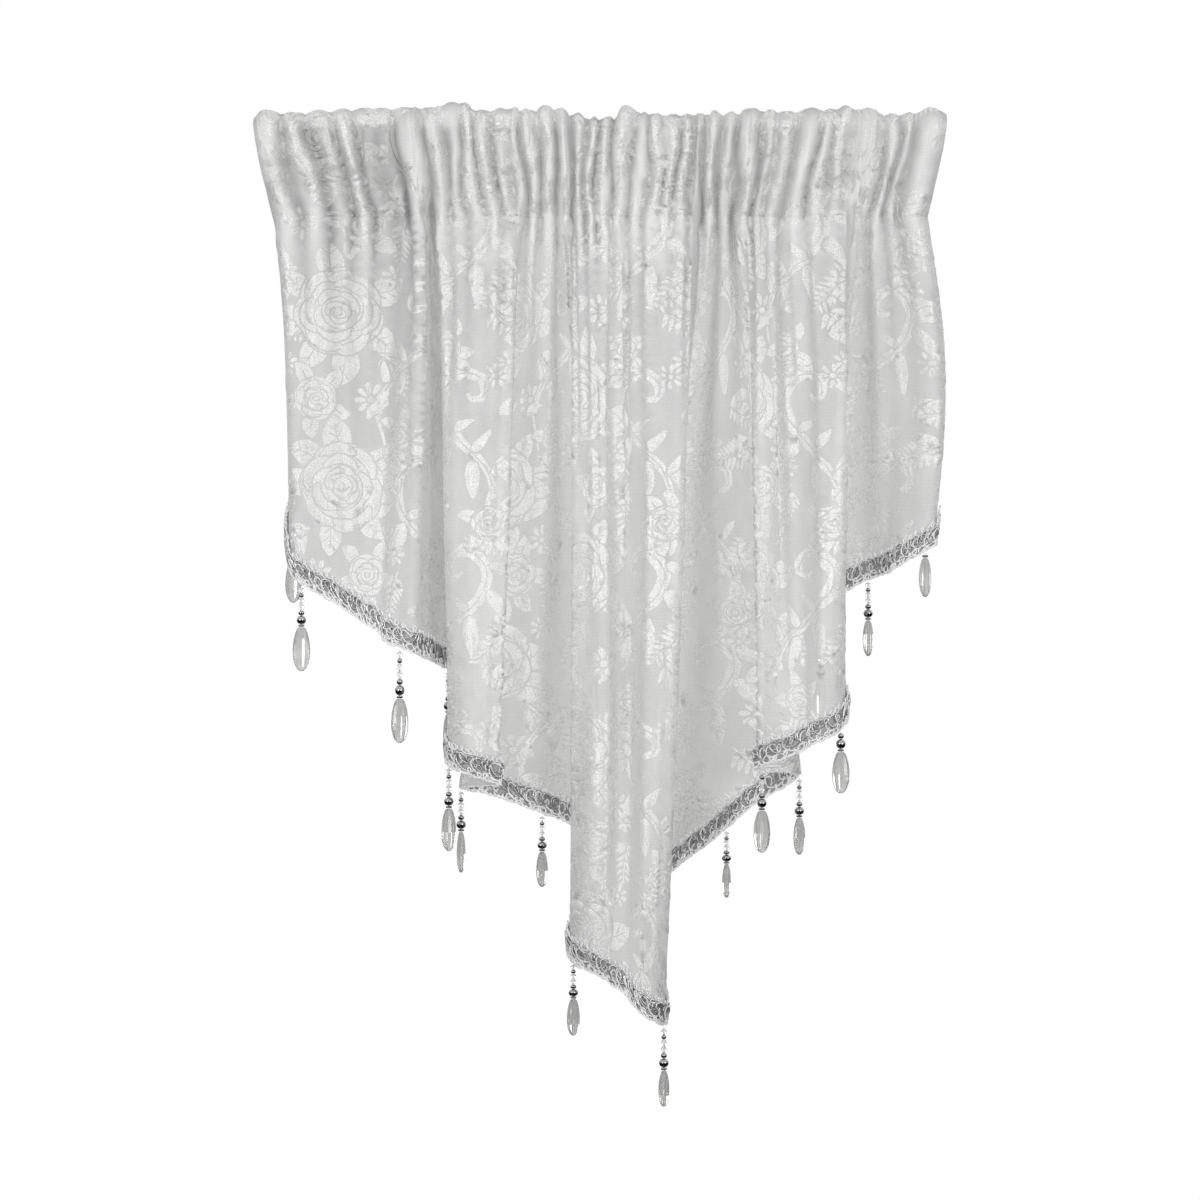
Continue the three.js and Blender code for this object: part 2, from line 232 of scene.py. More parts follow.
def grainGroup():
    # uneven tarnish and spun strands for yarn, metal and clear beads
    group, given, result = nodeGroup("grain", (("Scale", 400.0), ("Stretch", 1.0)), ("Height", "Tint"))
    place = group.nodes.new("ShaderNodeTexCoord").outputs["Object"]
    squash = addNode(group, "CombineXYZ", X=1.0, Y=1.0, Z=given.outputs["Stretch"])
    drawn = mathNode(group, "MULTIPLY", place, squash.outputs[0], kind="VectorMath")
    fine = addNode(group, "TexNoise", Vector=drawn, Scale=given.outputs["Scale"], Detail=3.0)
    broad = addNode(group, "TexNoise", Vector=place, Scale=tarnish["broadScale"])
    tint = mathNode(group, "ADD", mathNode(group, "MULTIPLY", fine.outputs["Fac"], tarnish["fineShare"]),
                    mathNode(group, "MULTIPLY", broad.outputs["Fac"], tarnish["broadShare"]))
    group.links.new(fine.outputs["Fac"], result.inputs["Height"])
    group.links.new(tint, result.inputs["Tint"])
    return group


# hollow is the colour of the painted shade mixed into the cloth between its gathers
def finish(name, dark, light, group, settings, roughness=(0.5, 0.6), bump=(0.2, 0.0002), alpha=None,
           hollow=(0.22, 0.22, 0.22), **sockets):
    # one material: colour, roughness, relief and sheerness all follow the group's tint and height
    material = bpy.data.materials.new(name)
    material.use_nodes = True
    tree = material.node_tree
    shader = tree.nodes["Principled BSDF"]
    detail = tree.nodes.new("ShaderNodeGroup")
    detail.node_tree = group
    for label, value in settings.items():
        detail.inputs[label].default_value = value
    made = detail.outputs
    colour = mixedColour(tree, made["Tint"], (*dark, 1.0), (*light, 1.0))
    if alpha is not None:   # painted shade darkens the cloth between its gathers, and it is sheer between its threads
        colour = mixedColour(tree, made["PaintedShade"], colour, (*hollow, 1.0))
        sheer = mapped(tree, made["Height"], alpha)
        closed = mathNode(tree, "MULTIPLY", made["Gathered"], 1 - alpha[1])
        tree.links.new(mathNode(tree, "ADD", sheer, closed), shader.inputs["Alpha"])
    tree.links.new(colour, shader.inputs["Base Color"])
    tree.links.new(mapped(tree, made["Tint"], roughness), shader.inputs["Roughness"])
    relief = addNode(tree, "Bump", Height=made["Height"], Strength=bump[0], Distance=bump[1])
    tree.links.new(relief.outputs["Normal"], shader.inputs["Normal"])
    for label, value in sockets.items():
        shader.inputs[label.replace("_", " ")].default_value = value
    return material


threads, grain = weaveGroup(), grainGroup()
# the net takes the default painted shade colour, the satin gives its own as its last colour
laceNet = finish("laceNet", (0.64, 0.64, 0.635), (0.8, 0.8, 0.795), threads,
                 {"Across": 1300.0, "Down": 1100.0, "Mottle": 110.0, "Thread": 0.3, "Stitch": 0.3},
                 (0.75, 0.85), (0.25, 0.0002), (0.46, 0.66), Sheen_Weight=0.4, Sheen_Roughness=0.3)
laceSatin = finish("laceSatin", (0.56, 0.56, 0.555), (0.93, 0.93, 0.925), threads,
                   {"Across": 800.0, "Down": 700.0, "Mottle": 420.0, "Thread": 0.55, "Stitch": 0.8},
                   (0.4, 0.58), (0.35, 0.0004), (0.66, 0.96), (0.42, 0.42, 0.415), Metallic=0.42)
sewingThread = finish("sewingThread", (0.62, 0.62, 0.62), (0.86, 0.86, 0.86), grain,
                      {"Scale": 1500.0, "Stretch": 1.0}, (0.5, 0.7))
braidTape = finish("braidTape", (0.16, 0.16, 0.16), (0.5, 0.5, 0.5), grain,
                   {"Scale": 900.0, "Stretch": 1.0}, (0.45, 0.65), (0.6, 0.0005), Metallic=0.25)
braidSilver = finish("braidSilver", (0.3, 0.3, 0.31), (0.9, 0.9, 0.9), grain,
                     {"Scale": 1400.0, "Stretch": 1.0}, (0.18, 0.4), (0.4, 0.0003), Metallic=0.9)
braidYarn = finish("braidYarn", (0.66, 0.66, 0.66), (0.92, 0.92, 0.92), grain,
                   {"Scale": 1600.0, "Stretch": 1.0}, (0.5, 0.7), (0.4, 0.0003), Sheen_Weight=0.2)
silverBead = finish("silverBead", (0.2, 0.2, 0.21), (0.42, 0.42, 0.43), grain,
                    {"Scale": 300.0, "Stretch": 1.0}, (0.04, 0.12), (0.03, 0.0001), Metallic=1.0)
clearBead = finish("clearBead", (0.5, 0.5, 0.5), (0.86, 0.86, 0.86), grain,
                   {"Scale": 350.0, "Stretch": 1.0}, (0.04, 0.14), (0.06, 0.0001),
                   Transmission_Weight=0.6, IOR=1.49)
clearDrop = finish("clearDrop", (0.3, 0.3, 0.3), (0.66, 0.66, 0.65), grain,
                   {"Scale": 700.0, "Stretch": 0.06}, (0.06, 0.16), (0.04, 0.0001),
                   Transmission_Weight=0.6, IOR=1.49)
print("materials ready:", len(bpy.data.materials))


# the hang of the cloth
drape = {
    "seamHeight": -73.15,   # where the panel leaves the stitching
    "tucked": 0.9,          # how far it runs up into the foot of the heading
    "seamReach": 18.0,      # over this height the relief turns from straight ahead to square to the cloth
    "turned": 0.25, "turnedSoft": 0.5,      # no relief where a pleat faces aside by more than this
    "gatherReach": 2.1, "reachLimit": 140.0,    # how far the gathers run down, the longest held back
    "paintedShadeReach": 85.0, "fineReach": 45.0,     # the same for the painted shade between them and for the fine folds
    "sharpReach": 110.0, "softCrest": 1.8,      # below this the gathers have this softer shape
    "loosened": 0.2, "looseReach": 9.0,     # share of the gathers' swell that comes back below the stitching
    "softFolds": ((131.0, 2.2, 0.3), (73.0, 1.8, 1.9), (41.0, 1.1, 4.1)),   # length across, height, phase
    "softLean": 0.12, "softReach": 120.0,   # lean as a share of the way down, and where they are full
    "edgeShade": 0.4, "edgeWidth": 1.7, "edgeReach": 40.0,      # painted shade on the left edge, which turns back
    "flatShare": 0.6, "samples": 1800,      # share of the drop at which the flat width is measured
}
# one row for each crease, from left to right:
# place at the stitching X Y, place at the hem X Y, drop of the hem, bow to the right, sink to the back
creases = np.array([
    (-220, 2, -199, 38, 256, 0, 0), (-217, 0, -209, 12, 284, 1.5, 0), (-211, -4, -202, -12, 314, 0, 0),
    (-181, -7, -172, -21, 333, 0, 0), (-145, 3, -144, -14, 353, 0, 6), (-123, -8, -128, -26, 362, 4, 0),
    (-117, 4, -113, 2, 370, 2, 0), (-115, 6, -95, 26, 380, 0, 0), (-113, 6, -73, 28, 396, 0, 0),
    (-111, 2, -82, 11, 415, 0, 0), (-108, -4, -102, -12, 434, 0, 0), (-83, -8, -86, -37, 443, 0, 4),
    (-57, -7, -68, -33, 450, 2, 0), (-54, -3, -76, -21, 451, 0, 0), (-51, 2, -95, -11, 453, 0, 0),
    (-47, 5, -78, 0, 457, 0, 0), (-38, 6, -50, 6, 467, 0, 0), (-28, 6, -20, 20, 481, 0, 0),
    (-24, 5, 2, 26, 502, 0, 0), (-21, 1, -4, 8, 530, 0, 0), (-19, -5, -21, -24, 562, 0, 0),
    (-3, -9, 0, -44, 575, 0, 0), (13, -1, 17, -44, 588, 0, 16), (36, -8, 31, -48, 602, 0, 0),
    (59, -8, 40.5, -38, 607, 2, 0), (63, -3, 36, -18, 588, 0, 0), (66, 2, 29, 4, 560, 0, 0),
    (69, 6, 26, 26, 534, 0, 0), (73, 7, 42, 34, 518, 0, 0), (83, 5, 74, 16, 490, 0, 0),
    (88, 4, 102, 6, 465, 0, 0), (91, 2, 133, 2, 445, 0, 0), (94, -1, 124, -12, 443, 0, 0),
    (98, -5, 102, -22, 440, 0, 0), (112, -8, 120, -38, 432, 0, 0), (124, 0, 136, -38, 425, 0, 10),
    (142, -7, 150, -42, 417, 0, 0), (161, -8, 160, -32, 407, 0, 0), (164, -3, 153, -12, 386, 0, 0),
    (167, 2, 146, 6, 364, 0, 0), (170, 6, 148, 26, 340, 0, 0), (176, 6, 170, 26, 319, 2, 0),
    (190, -4, 195, 8, 308, 5, 0), (208, -5, 218, 2, 293, 9, 0), (217.5, 4, 224, 18, 281, 9, 0),
], float)
lastCrease = len(creases) - 1


def guideCurve(points):
    # smooth centripetal line through the points, asked by point number
    points = np.asarray(points, float)
    line = np.vstack([2 * points[0] - points[1], points, 2 * points[-1] - points[-2]])
    spans = np.maximum(np.sum(np.diff(line, axis=0) ** 2, axis=1) ** 0.25, 1e-4)

    def at(number):
        number = np.clip(np.atleast_1d(np.asarray(number, float)), 0, len(points) - 1)
        k = np.minimum(number.astype(int), len(points) - 2)
        t = (number - k)[:, None]
        before, start, end, after = line[k], line[k + 1], line[k + 2], line[k + 3]
        first, middle, last = spans[k][:, None], spans[k + 1][:, None], spans[k + 2][:, None]
        straight = (end - start) / middle
        leave = ((start - before) / first - (end - before) / (first + middle) + straight) * middle
        arrive = (straight - (after - start) / (middle + last) + (after - end) / last) * middle
        bend = 3 * (end - start) - 2 * leave - arrive
        twist = 2 * (start - end) + leave + arrive
        return start + leave * t + bend * t ** 2 + twist * t ** 3

    return at


def lengthAlong(line):
    return np.concatenate([[0], np.cumsum(np.linalg.norm(np.diff(line, axis=0), axis=1))])


seamLine = guideCurve(creases[:, :2])
hemLine = guideCurve(np.column_stack([creases[:, 2], creases[:, 3], -creases[:, 4]]))
swingLine = guideCurve(np.column_stack([creases[:, 5], creases[:, 6], np.arange(len(creases))]))


def hangingPoint(crease, share):
    seam, hem, swing = seamLine(crease), hemLine(crease), swingLine(crease)
    sway = np.sin(np.pi * np.clip(share, 0, 1))
    opened = np.where(share < 1, 1 - (1 - share) ** 2, 1)
    return np.column_stack([
        seam[:, 0] + (hem[:, 0] - seam[:, 0]) * share + swing[:, 0] * sway,
        seam[:, 1] + (hem[:, 1] - seam[:, 1]) * opened + swing[:, 1] * sway,
        drape["seamHeight"] + (hem[:, 2] - drape["seamHeight"]) * share])


def hangingNormal(crease, share):
    # out of the face of the cloth, which is towards the room on the front of a pleat
    aside, below = 0.04, 0.006
    left, right = np.maximum(crease - aside, 0), np.minimum(crease + aside, lastCrease)
    across = hangingPoint(right, share) - hangingPoint(left, share)
    down = hangingPoint(crease, share + below) - hangingPoint(crease, share - below)
    normal = np.cross(down, across)
    return normal / (np.linalg.norm(normal, axis=1)[:, None] + 1e-9)


def dropAt(crease):
    return drape["seamHeight"] - hemLine(crease)[:, 2]


# the gathered heading, with its sizes where it is flat and what draws it up
heading = {
    "width": 466.0, "seamWidth": 440.0, "height": 73.0, "setBack": 4.0,
    # the pocket in section, from the stitching up: half its depth and height, and the height of its top
    "pocketHalf": ((0.4, -73.0), (4.5, -59), (9, -45), (12, -26), (10.5, -12)), "pocketTop": -6.0,
    "samples": 400,
    "topHollow": 0.22,      # share of the valleys' depth at the top edge
    "crestDepth": 11.0,     # below the top edge by this much the gathers stand out by their front
    "pinch": 0.72,          # share of the gathers' swell that the stitching leaves
    "endSag": -3.0,         # the open ends sink in
    "seamReach": 20.0,      # height above the stitching over which the gathers swell
    "rodRoom": -3.7, "rodSoft": 0.7,    # the gathers go no deeper than this, which leaves the rod its channel
    "sideCurve": 1.4,       # the sides draw in towards the stitching along this power of the way down
    "stepAcross": 1.25, "stepDown": 3.6, "clear": 0.42,     # spacing of the cloth's free points
    "crestShape": 0.8,      # below 1 is a rounder crest and a sharper valley
    # how far the gathers bend aside, and the bends: half waves down, share, turn along the rod, turn down
    "wander": 2.6, "bends": ((1, 1.0, 0.083, 2.6), (2, 0.5, 0.21, 0.0)),
    # fine folds between the gathers: width, depth, lean on the way down, phase
    "fineFolds": ((9.3, 1.7, 6.0, 0.4), (5.7, 1.0, -4.0, 1.7), (14.1, 1.2, 9.0, 2.9)),
    "fineShape": 0.7, "fineLevel": 0.65,    # their crests as above, and the level that counts as flat
    "fineBend": (0.5, 0.07, 0.03),      # how far they bend, and how often down and along the rod
    "fineComes": (0.55, 0.45, 0.061, 0.03),     # middle and swing of their strength, turns along and down
    # where they are weaker or stronger: place along the rod, share
    "fineShares": ((-233, 0.3), (-145, 0.3), (-110, 1.0), (60, 1.0), (110, 0.6), (233, 0.5)),
    "lumps": 0.6, "lumpTurns": ((0.19, 0.37), (0.29, -0.11)),   # uneven swelling, with turns along and down
    "shadeShape": 1.4,      # the painted shade between the gathers spreads up their sides
    "crestLevel": 4.5, "paintedShadeDepth": 15.0, "paintedShadePower": 1.3,     # the painted shade is darkest this far below this level
    # how dark the painted shade in the hollows is: place along the rod, share
    "shadeShares": ((-233, 1.15), (-140, 1.15), (-90, 0.85), (60, 0.8), (120, 0.95), (233, 0.95)),
}
# gathers from left to right: width, how far the crest stands up at the top edge and out at the front,
# lean to the right on the way down to the stitching, how far below it the gather still shows,
# and how deep the valleys beside it are
gathers = np.array([
    (19, 4.5, 6, 0, 40, 11), (16, 3, 6, 3, 30, 12), (15, 4.5, 0, 8, 25, 7), (16, 5, 6, 10, 25, 8),
    (15, 5.5, -3, 7, 30, 2), (14, 5.5, -4, 3, 30, 2), (18, 6.5, 9, 1, 200, 9), (13, 7, 6, 0, 60, 8),
    (10, 10, 1, 1, 40, 7), (10, 9.5, 6, 3, 40, 9), (13, 4.5, 8, 6, 150, 10), (11, 6, 1, 5, 60, 6),
    (9, 6.5, 2, 2, 40, 6), (10, 5, 4, 0, 70, 8), (11, 7.5, 4, 1, 50, 9), (11, 5.5, 8, 2, 120, 10),
    (11, 2, 0, 0, 60, 6), (10, -1, 4, -2, 70, 9), (12, 0, 7, -5, 150, 10), (12, 8, 8, -6, 220, 11),
    (9, 3.5, 3, -4, 60, 6), (9, 1.5, 6, -2, 160, 9), (9, 1.5, 6, -1, 180, 9), (11, 2, 5, 0, 90, 9),
    (8, 2, -2, 1, 60, 5), (11, 3.5, 5, 3, 60, 9), (13, 2.5, 0, 0, 80, 6), (14, 5.5, 7, -3, 150, 10),
    (9, 4.5, -1, -3, 60, 5), (15, 4, 1, -4, 60, 4), (17, 6, 8, -6, 160, 9), (11, 5, 3, -4, 120, 7),
    (9, 7.5, 2, -1, 60, 6), (21, 5.5, 3, 0, 50, 5), (9, 2, 5, -1, 70, 8), (10, 2.5, 0, 0, 50, 5),
    (25, 5.5, 5, 0, 60, 8)], float)
gatherEdges = np.concatenate([[0], np.cumsum(gathers[:, 0])])
gatherEdges = (gatherEdges / gatherEdges[-1] - 0.5) * heading["width"]
gatherMiddles = (gatherEdges[:-1] + gatherEdges[1:]) / 2
edgeLeans = np.concatenate([[0], (gathers[:-1, 3] + gathers[1:, 3]) / 2, [0]])


def valleysOf(crests, hollow):
    inner = np.minimum(crests[:-1], crests[1:]) - (hollow[:-1] + hollow[1:]) / 2
    return np.concatenate([[heading["endSag"]], inner, [heading["endSag"]]])


def gatherSwell(x, down, atTop, crestShape):
    # outward swell at place x along the rod, a share of the way down, at the top edge or the front
    wander = sum(share * np.sin(halves * np.pi * down) * np.sin(along * x + turn * down)
                 for halves, share, along, turn in heading["bends"])
    place = x - np.interp(x, gatherEdges, edgeLeans) * down + heading["wander"] * wander
    k = np.clip(np.searchsorted(gatherEdges, place) - 1, 0, len(gathers) - 1)
    share = np.clip((place - gatherEdges[k]) / (gatherEdges[k + 1] - gatherEdges[k]), 0, 1)
    crest = np.sin(np.pi * share) ** crestShape
    swell = 0.0
    for column, depth, weight in ((1, heading["topHollow"], atTop), (2, 1.0, 1 - atTop)):
        valley = valleysOf(gathers[:, column], gathers[:, 5] * depth)
        base = valley[k] + (valley[k + 1] - valley[k]) * share
        swell = swell + weight * (base + (gathers[k, column] - base) * crest)
    return swell


def alongRod(x, table):
    places, shares = zip(*heading[table])
    return np.interp(x, places, shares)


def fineRelief(x, z):
    # round little folds with sharp creases, which come and go along the rod
    total = heading["lumps"]
    for along, down in heading["lumpTurns"]:
        total = total * np.sin(along * x + down * z)
    bendReach, bendDown, bendAlong = heading["fineBend"]
    middle, swing, comesAlong, comesDown = heading["fineComes"]
    for width, depth, lean, phase in heading["fineFolds"]:
        bend = bendReach * np.sin(bendDown * z + phase * x * bendAlong)
        wave = np.abs(np.sin(np.pi * (x - lean * z / heading["height"]) / width + phase + bend))
        fold = wave ** heading["fineShape"] - heading["fineLevel"]
        comes = middle + swing * np.sin(comesAlong * x * phase + phase + comesDown * z)
        total = total + depth * fold * comes * alongRod(x, "fineShares")
    return total


# painted shade between the gathers, darker the further the swell lies below the crests
def paintedShadeOf(x, swell):
    deep = np.clip((heading["crestLevel"] - swell) / heading["paintedShadeDepth"], 0, 1)
    return deep ** heading["paintedShadePower"] * alongRod(x, "shadeShares")


denseCreases = np.linspace(0, lastCrease, drape["samples"])
denseSeam = seamLine(denseCreases)


def seamDepth(x):
    return np.interp(x, np.maximum.accumulate(denseSeam[:, 0]), denseSeam[:, 1])


# flat width of the cloth, measured along its folds part way down
flatLine = hangingPoint(denseCreases, np.full(len(denseCreases), drape["flatShare"]))
flatPlace = lengthAlong(flatLine[:, :2])
flatWidth = float(flatPlace[-1])


def creaseAt(across):
    return np.interp(across, flatPlace, denseCreases)


def alongSeam(crease, share):
    # distance below the stitching, and the place along the rod that the crease comes from
    return share * dropAt(crease), seamLine(crease)[:, 0] * heading["width"] / heading["seamWidth"]


def ripple(crease, share):
    # gathers that fade below the stitching, and slow soft folds that grow towards the hem
    below, seamX = alongSeam(crease, share)
    reach = np.interp(seamX, gatherMiddles + gathers[:, 3], gathers[:, 4])
    reach = drape["gatherReach"] * reach / (1 + reach / drape["reachLimit"])
    swollen = heading["pinch"] + drape["loosened"] * (1 - np.exp(-below / drape["looseReach"]))
    crestShape = np.interp(below, (0, drape["sharpReach"]), (heading["crestShape"], drape["softCrest"]))
    total = gatherSwell(seamX, 1.0, 0.0, crestShape) * swollen * np.exp(-below / reach)
    fine = fineRelief(seamX, -heading["height"] - below)
    total += fine * heading["pinch"] * np.exp(-below / drape["fineReach"])
    across = np.interp(crease, denseCreases, flatPlace)
    for length, height, phase in drape["softFolds"]:
        wave = np.sin(2 * np.pi * (across + drape["softLean"] * below) / length + phase)
        total += height * wave * np.clip(below / drape["softReach"], 0, 1)
    return total


# painted shade on the panel: between the gathers, fading below the stitching, and along the left edge,
# growing down from it
def clothPaintedShade(crease, share):
    below, seamX = alongSeam(crease, share)
    fine = fineRelief(seamX, -heading["height"] - below)
    swell = gatherSwell(seamX, 1.0, 0.0, heading["shadeShape"]) + fine
    edge = drape["edgeShade"] * np.clip(drape["edgeWidth"] - crease, 0, 1)
    edge = edge * np.clip(below / drape["edgeReach"], 0, 1)
    return np.maximum(paintedShadeOf(seamX, swell) * np.exp(-below / drape["paintedShadeReach"]), edge)


def eased(share):
    return share * share * (3 - 2 * share)


def clothPoint(crease, share, out=0.0):
    # at the stitching all relief is straight to the front, as in the heading
    freed = np.clip(share * dropAt(crease) / drape["seamReach"], 0, 1)[:, None]
    normal = hangingNormal(crease, share)
    facing = np.clip((-normal[:, 1] - drape["turned"]) / drape["turnedSoft"], 0, 1)
    relief = ripple(crease, share) * (1 - freed[:, 0] * (1 - eased(facing)))
    normal = normal * freed + np.array([0.0, -1.0, 0.0]) * (1 - freed)
    normal /= np.linalg.norm(normal, axis=1)[:, None]
    return hangingPoint(crease, share) + normal * (relief + out)[:, None]


print("flat width of the cloth", round(flatWidth), "mm")


# the lace figures, each a list of outlines painted one over the other as figure or as net
lace = {
    "line": 0.95,           # width of the net line around each petal
    "raised": 0.35,         # how far the satin figures stand off the net
    "stepAcross": 2.8, "stepDown": 6.5,     # spacing of the free points
    "clear": 1.3,           # free points keep this far from an outline
    "mapCell": 0.4,         # fineness of the map that tells which outlines show
    "repeat": (124.0, 117.0),
    "firstRose": (80.0, 64.0),
    "ragged": 0.36,         # how uneven the woven outlines are
    "largeLeaf": 18.0, "largeRose": 20.0,   # larger ones have side veins and more petals
    "scrollDrawn": 60.0,    # the size at which the scroll's points are given
}


def lobe(centre, long, wide, turn, count, taper=0.0):
    angles = np.linspace(0, 2 * np.pi, count, endpoint=False)
    x = long * np.cos(angles)
    y = wide * np.sin(angles) * (1 - taper * np.cos(angles))
    return np.column_stack([centre[0] + x * math.cos(turn) - y * math.sin(turn),
                            centre[1] + x * math.sin(turn) + y * math.cos(turn)])


def ribbon(path, width):
    along = np.gradient(path, axis=0)
    aside = np.column_stack([-along[:, 1], along[:, 0]])
    aside /= np.linalg.norm(aside, axis=1)[:, None] + 1e-9
    half = np.asarray(width)[:, None] / 2
    return np.vstack([path + aside * half, (path - aside * half)[::-1]])


def grown(outline, amount):
    before, after = np.roll(outline, 1, axis=0), np.roll(outline, -1, axis=0)
    along = after - before
    out = np.column_stack([along[:, 1], -along[:, 0]])
    out /= np.linalg.norm(out, axis=1)[:, None] + 1e-9
    area = np.sum(before[:, 0] * outline[:, 1] - before[:, 1] * outline[:, 0])
    return outline + out * amount * (1 if area > 0 else -1)


def petal(outline, innerLine=0.0):
    # a petal parted from what lies under it by a net line, with a second line inside it if asked
    shapes = [(grown(outline, lace["line"]), False), (outline, True)]
    if innerLine:
        shapes += [(grown(outline, -innerLine), False), (grown(outline, -innerLine - lace["line"]), True)]
    return shapes


def leaf(size, curl=0.2, broad=0.62):
    large = size > lace["largeLeaf"]
    share = np.linspace(0, 1, 10 if large else 6)
    spine = np.column_stack([size * share, curl * size * np.sin(np.pi * share) * 0.5])
    breadth = size * broad * np.sin(np.pi * share ** 0.8) ** 0.7
    shapes = petal(ribbon(spine, np.maximum(breadth, 0.25)))
    shapes.append((ribbon(spine[1:-1:2], np.full(len(spine[1:-1:2]), 0.7)), False))
    for k in (2, 4, 6) if large else ():
        for side in (-1, 1):
            tip = spine[k] + np.array([0.16 * size, side * 0.2 * size])
            shapes.append((ribbon(np.array([spine[k], tip]), np.full(2, 0.55)), False))
    return shapes


def strap(centre, radius, start, sweep, width):
    # a long curved petal that tapers to both ends
    share = np.linspace(0, 1, int(np.clip(radius * sweep / 3.4 + 2, 4, 8)))
    angle = start + sweep * share
    reach = radius * (1 + 0.12 * np.sin(np.pi * share))
    path = np.asarray(centre) + np.column_stack([reach * np.cos(angle), reach * 0.92 * np.sin(angle)])
    return petal(ribbon(path, width * np.maximum(np.sin(np.pi * (0.06 + 0.88 * share)), 0.1) ** 0.7))


def rose(size, spin, chance):
    # a scalloped flower with rings of strap petals: count, reach, sweep, width as shares of the radius
    large = size > lace["largeRose"]
    rings = ((5, 0.66, 1.4, 0.28), (3, 0.36, 1.8, 0.2))
    if large:
        rings = ((6, 0.74, 1.25, 0.24), (5, 0.55, 1.4, 0.2), (4, 0.38, 1.7, 0.16), (3, 0.22, 2.1, 0.11))
    angle = np.linspace(0, 2 * np.pi, 36 if large else 20, endpoint=False)
    rim = size * (0.88 + 0.09 * np.abs(np.sin(3.5 * angle + spin)))
    shapes = petal(np.column_stack([rim * np.cos(angle), rim * np.sin(angle)]))
    for ring, (count, reach, sweep, width) in enumerate(rings):
        for k in range(count):
            start = spin + 2 * math.pi * (k + 0.4 * ring) / count + chance.uniform(-0.2, 0.2)
            aside = size * 0.07 * np.array([chance.uniform(-1, 1), chance.uniform(-1, 1)])
            shapes += strap(aside, reach * size * chance.uniform(0.93, 1.07), start,
                            sweep * chance.uniform(0.85, 1.15), width * size)
    heart = max(0.085 * size, 1.6)
    return shapes + petal(lobe((0, 0), heart, heart * 0.9, spin, 7))


def daisy(size, spin, count=9):
    shapes = []
    for k in range(count):
        angle = spin + 2 * math.pi * k / count
        middle = 0.65 * size * np.array([math.cos(angle), math.sin(angle)])
        shapes.append((lobe(middle, 0.36 * size, 0.16 * size, angle, 7, -0.35), True))
    return shapes + petal(lobe((0, 0), 0.2 * size, 0.2 * size, 0, 7))


def fern(size, pairs=7, curl=0.35):
    share = np.linspace(0, 1, pairs + 2)
    spine = np.column_stack([size * share, curl * size * share ** 2])
    shapes = [(ribbon(spine, np.linspace(1.3, 0.6, pairs + 2)), True)]
    for k in range(1, pairs + 1):
        bearing = math.atan2(2 * curl * share[k], 1)
        reach = size * 0.23 * (1 - 0.6 * share[k])
        for side in (-1, 1):
            angle = bearing + side * 0.95
            middle = spine[k] + reach * np.array([math.cos(angle), math.sin(angle)]) * 1.1
            shapes.append((lobe(middle, reach, reach * 0.3, angle, 6, 0.3), True))
    return shapes + [(lobe(spine[-1] + (1.5, 1.2), size * 0.09, size * 0.04, 0.6, 8, 0.4), True)]


def scroll(size):
    # a spiral stem that sweeps into a long tail, with curling leaves on its outer side
    stem = ((3, 1), (-1, 5), (-7, 1), (-4, -9), (8, -11), (18, 0), (15, 17), (2, 32), (-15, 47), (-22, 68),
            (-14, 92))
    drawn, last = lace["scrollDrawn"], len(stem) - 1
    number = np.linspace(0, last, 34)
    path = guideCurve(stem)(number) * size / drawn
    share = number / last
    width = size / drawn * (1.6 + 5.6 * np.sin(np.pi * np.clip(share * 0.95 + 0.04, 0, 1)) ** 1.3)
    shapes = petal(ribbon(path, width))
    shapes.append((ribbon(path[6:-5], np.full(len(path) - 11, 0.9)), False))
    for place, turn, long in ((12, -0.7, 13), (16, -0.1, 16), (19, 0.5, 18), (22, 1.1, 19), (25, 1.5, 17),
                              (28, 1.9, 13), (21, 3.4, 11), (24, 3.9, 12), (27, 4.2, 10)):
        reach = long * size / drawn
        middle = path[place] + reach * 0.8 * np.array([math.cos(turn), math.sin(turn)])
        shapes += petal(lobe(middle, reach * 0.72, reach * 0.24, turn + 0.25, 10, 0.4))
    return shapes


def placed(shapes, place, turn=0.0, mirrored=False):
    turnRow = np.array([[math.cos(turn), math.sin(turn)], [-math.sin(turn), math.cos(turn)]])
    flip = np.array([-1.0 if mirrored else 1.0, 1.0])
    return [((outline * flip) @ turnRow + np.asarray(place, float), figure) for outline, figure in shapes]


def roseSpray(place, size, spin, chance, mirrored):
    shapes = []
    for angle, away, long in ((0.2, 0.7, 0.72), (1.0, 0.75, 0.85), (1.75, 0.75, 0.7), (2.6, 0.72, 0.85),
                              (3.4, 0.75, 0.7), (4.2, 0.72, 0.8), (5.3, 0.75, 0.8)):
        root = size * away * np.array([math.cos(angle + spin), math.sin(angle + spin)])
        turn = angle + spin + chance.uniform(-0.4, 0.4)
        shapes += placed(leaf(size * long, chance.uniform(-0.3, 0.3), chance.uniform(0.62, 0.85)), root, turn)
    return placed(shapes + rose(size, spin, chance), place, 0.0, mirrored)


def budSpray(place, size, spin, chance):
    shapes = []
    for angle in (0.4, 1.7, 2.9, 4.2, 5.4):
        root = size * 0.7 * np.array([math.cos(angle + spin), math.sin(angle + spin)])
        shapes += placed(leaf(size * 1.1, 0.25, 0.66), root, angle + spin)
    return placed(shapes + rose(size, spin, chance), place)


def chanceOffsets(chance, count):
    return np.array([(chance.uniform(-1, 1), chance.uniform(-1, 1)) for k in range(count)])


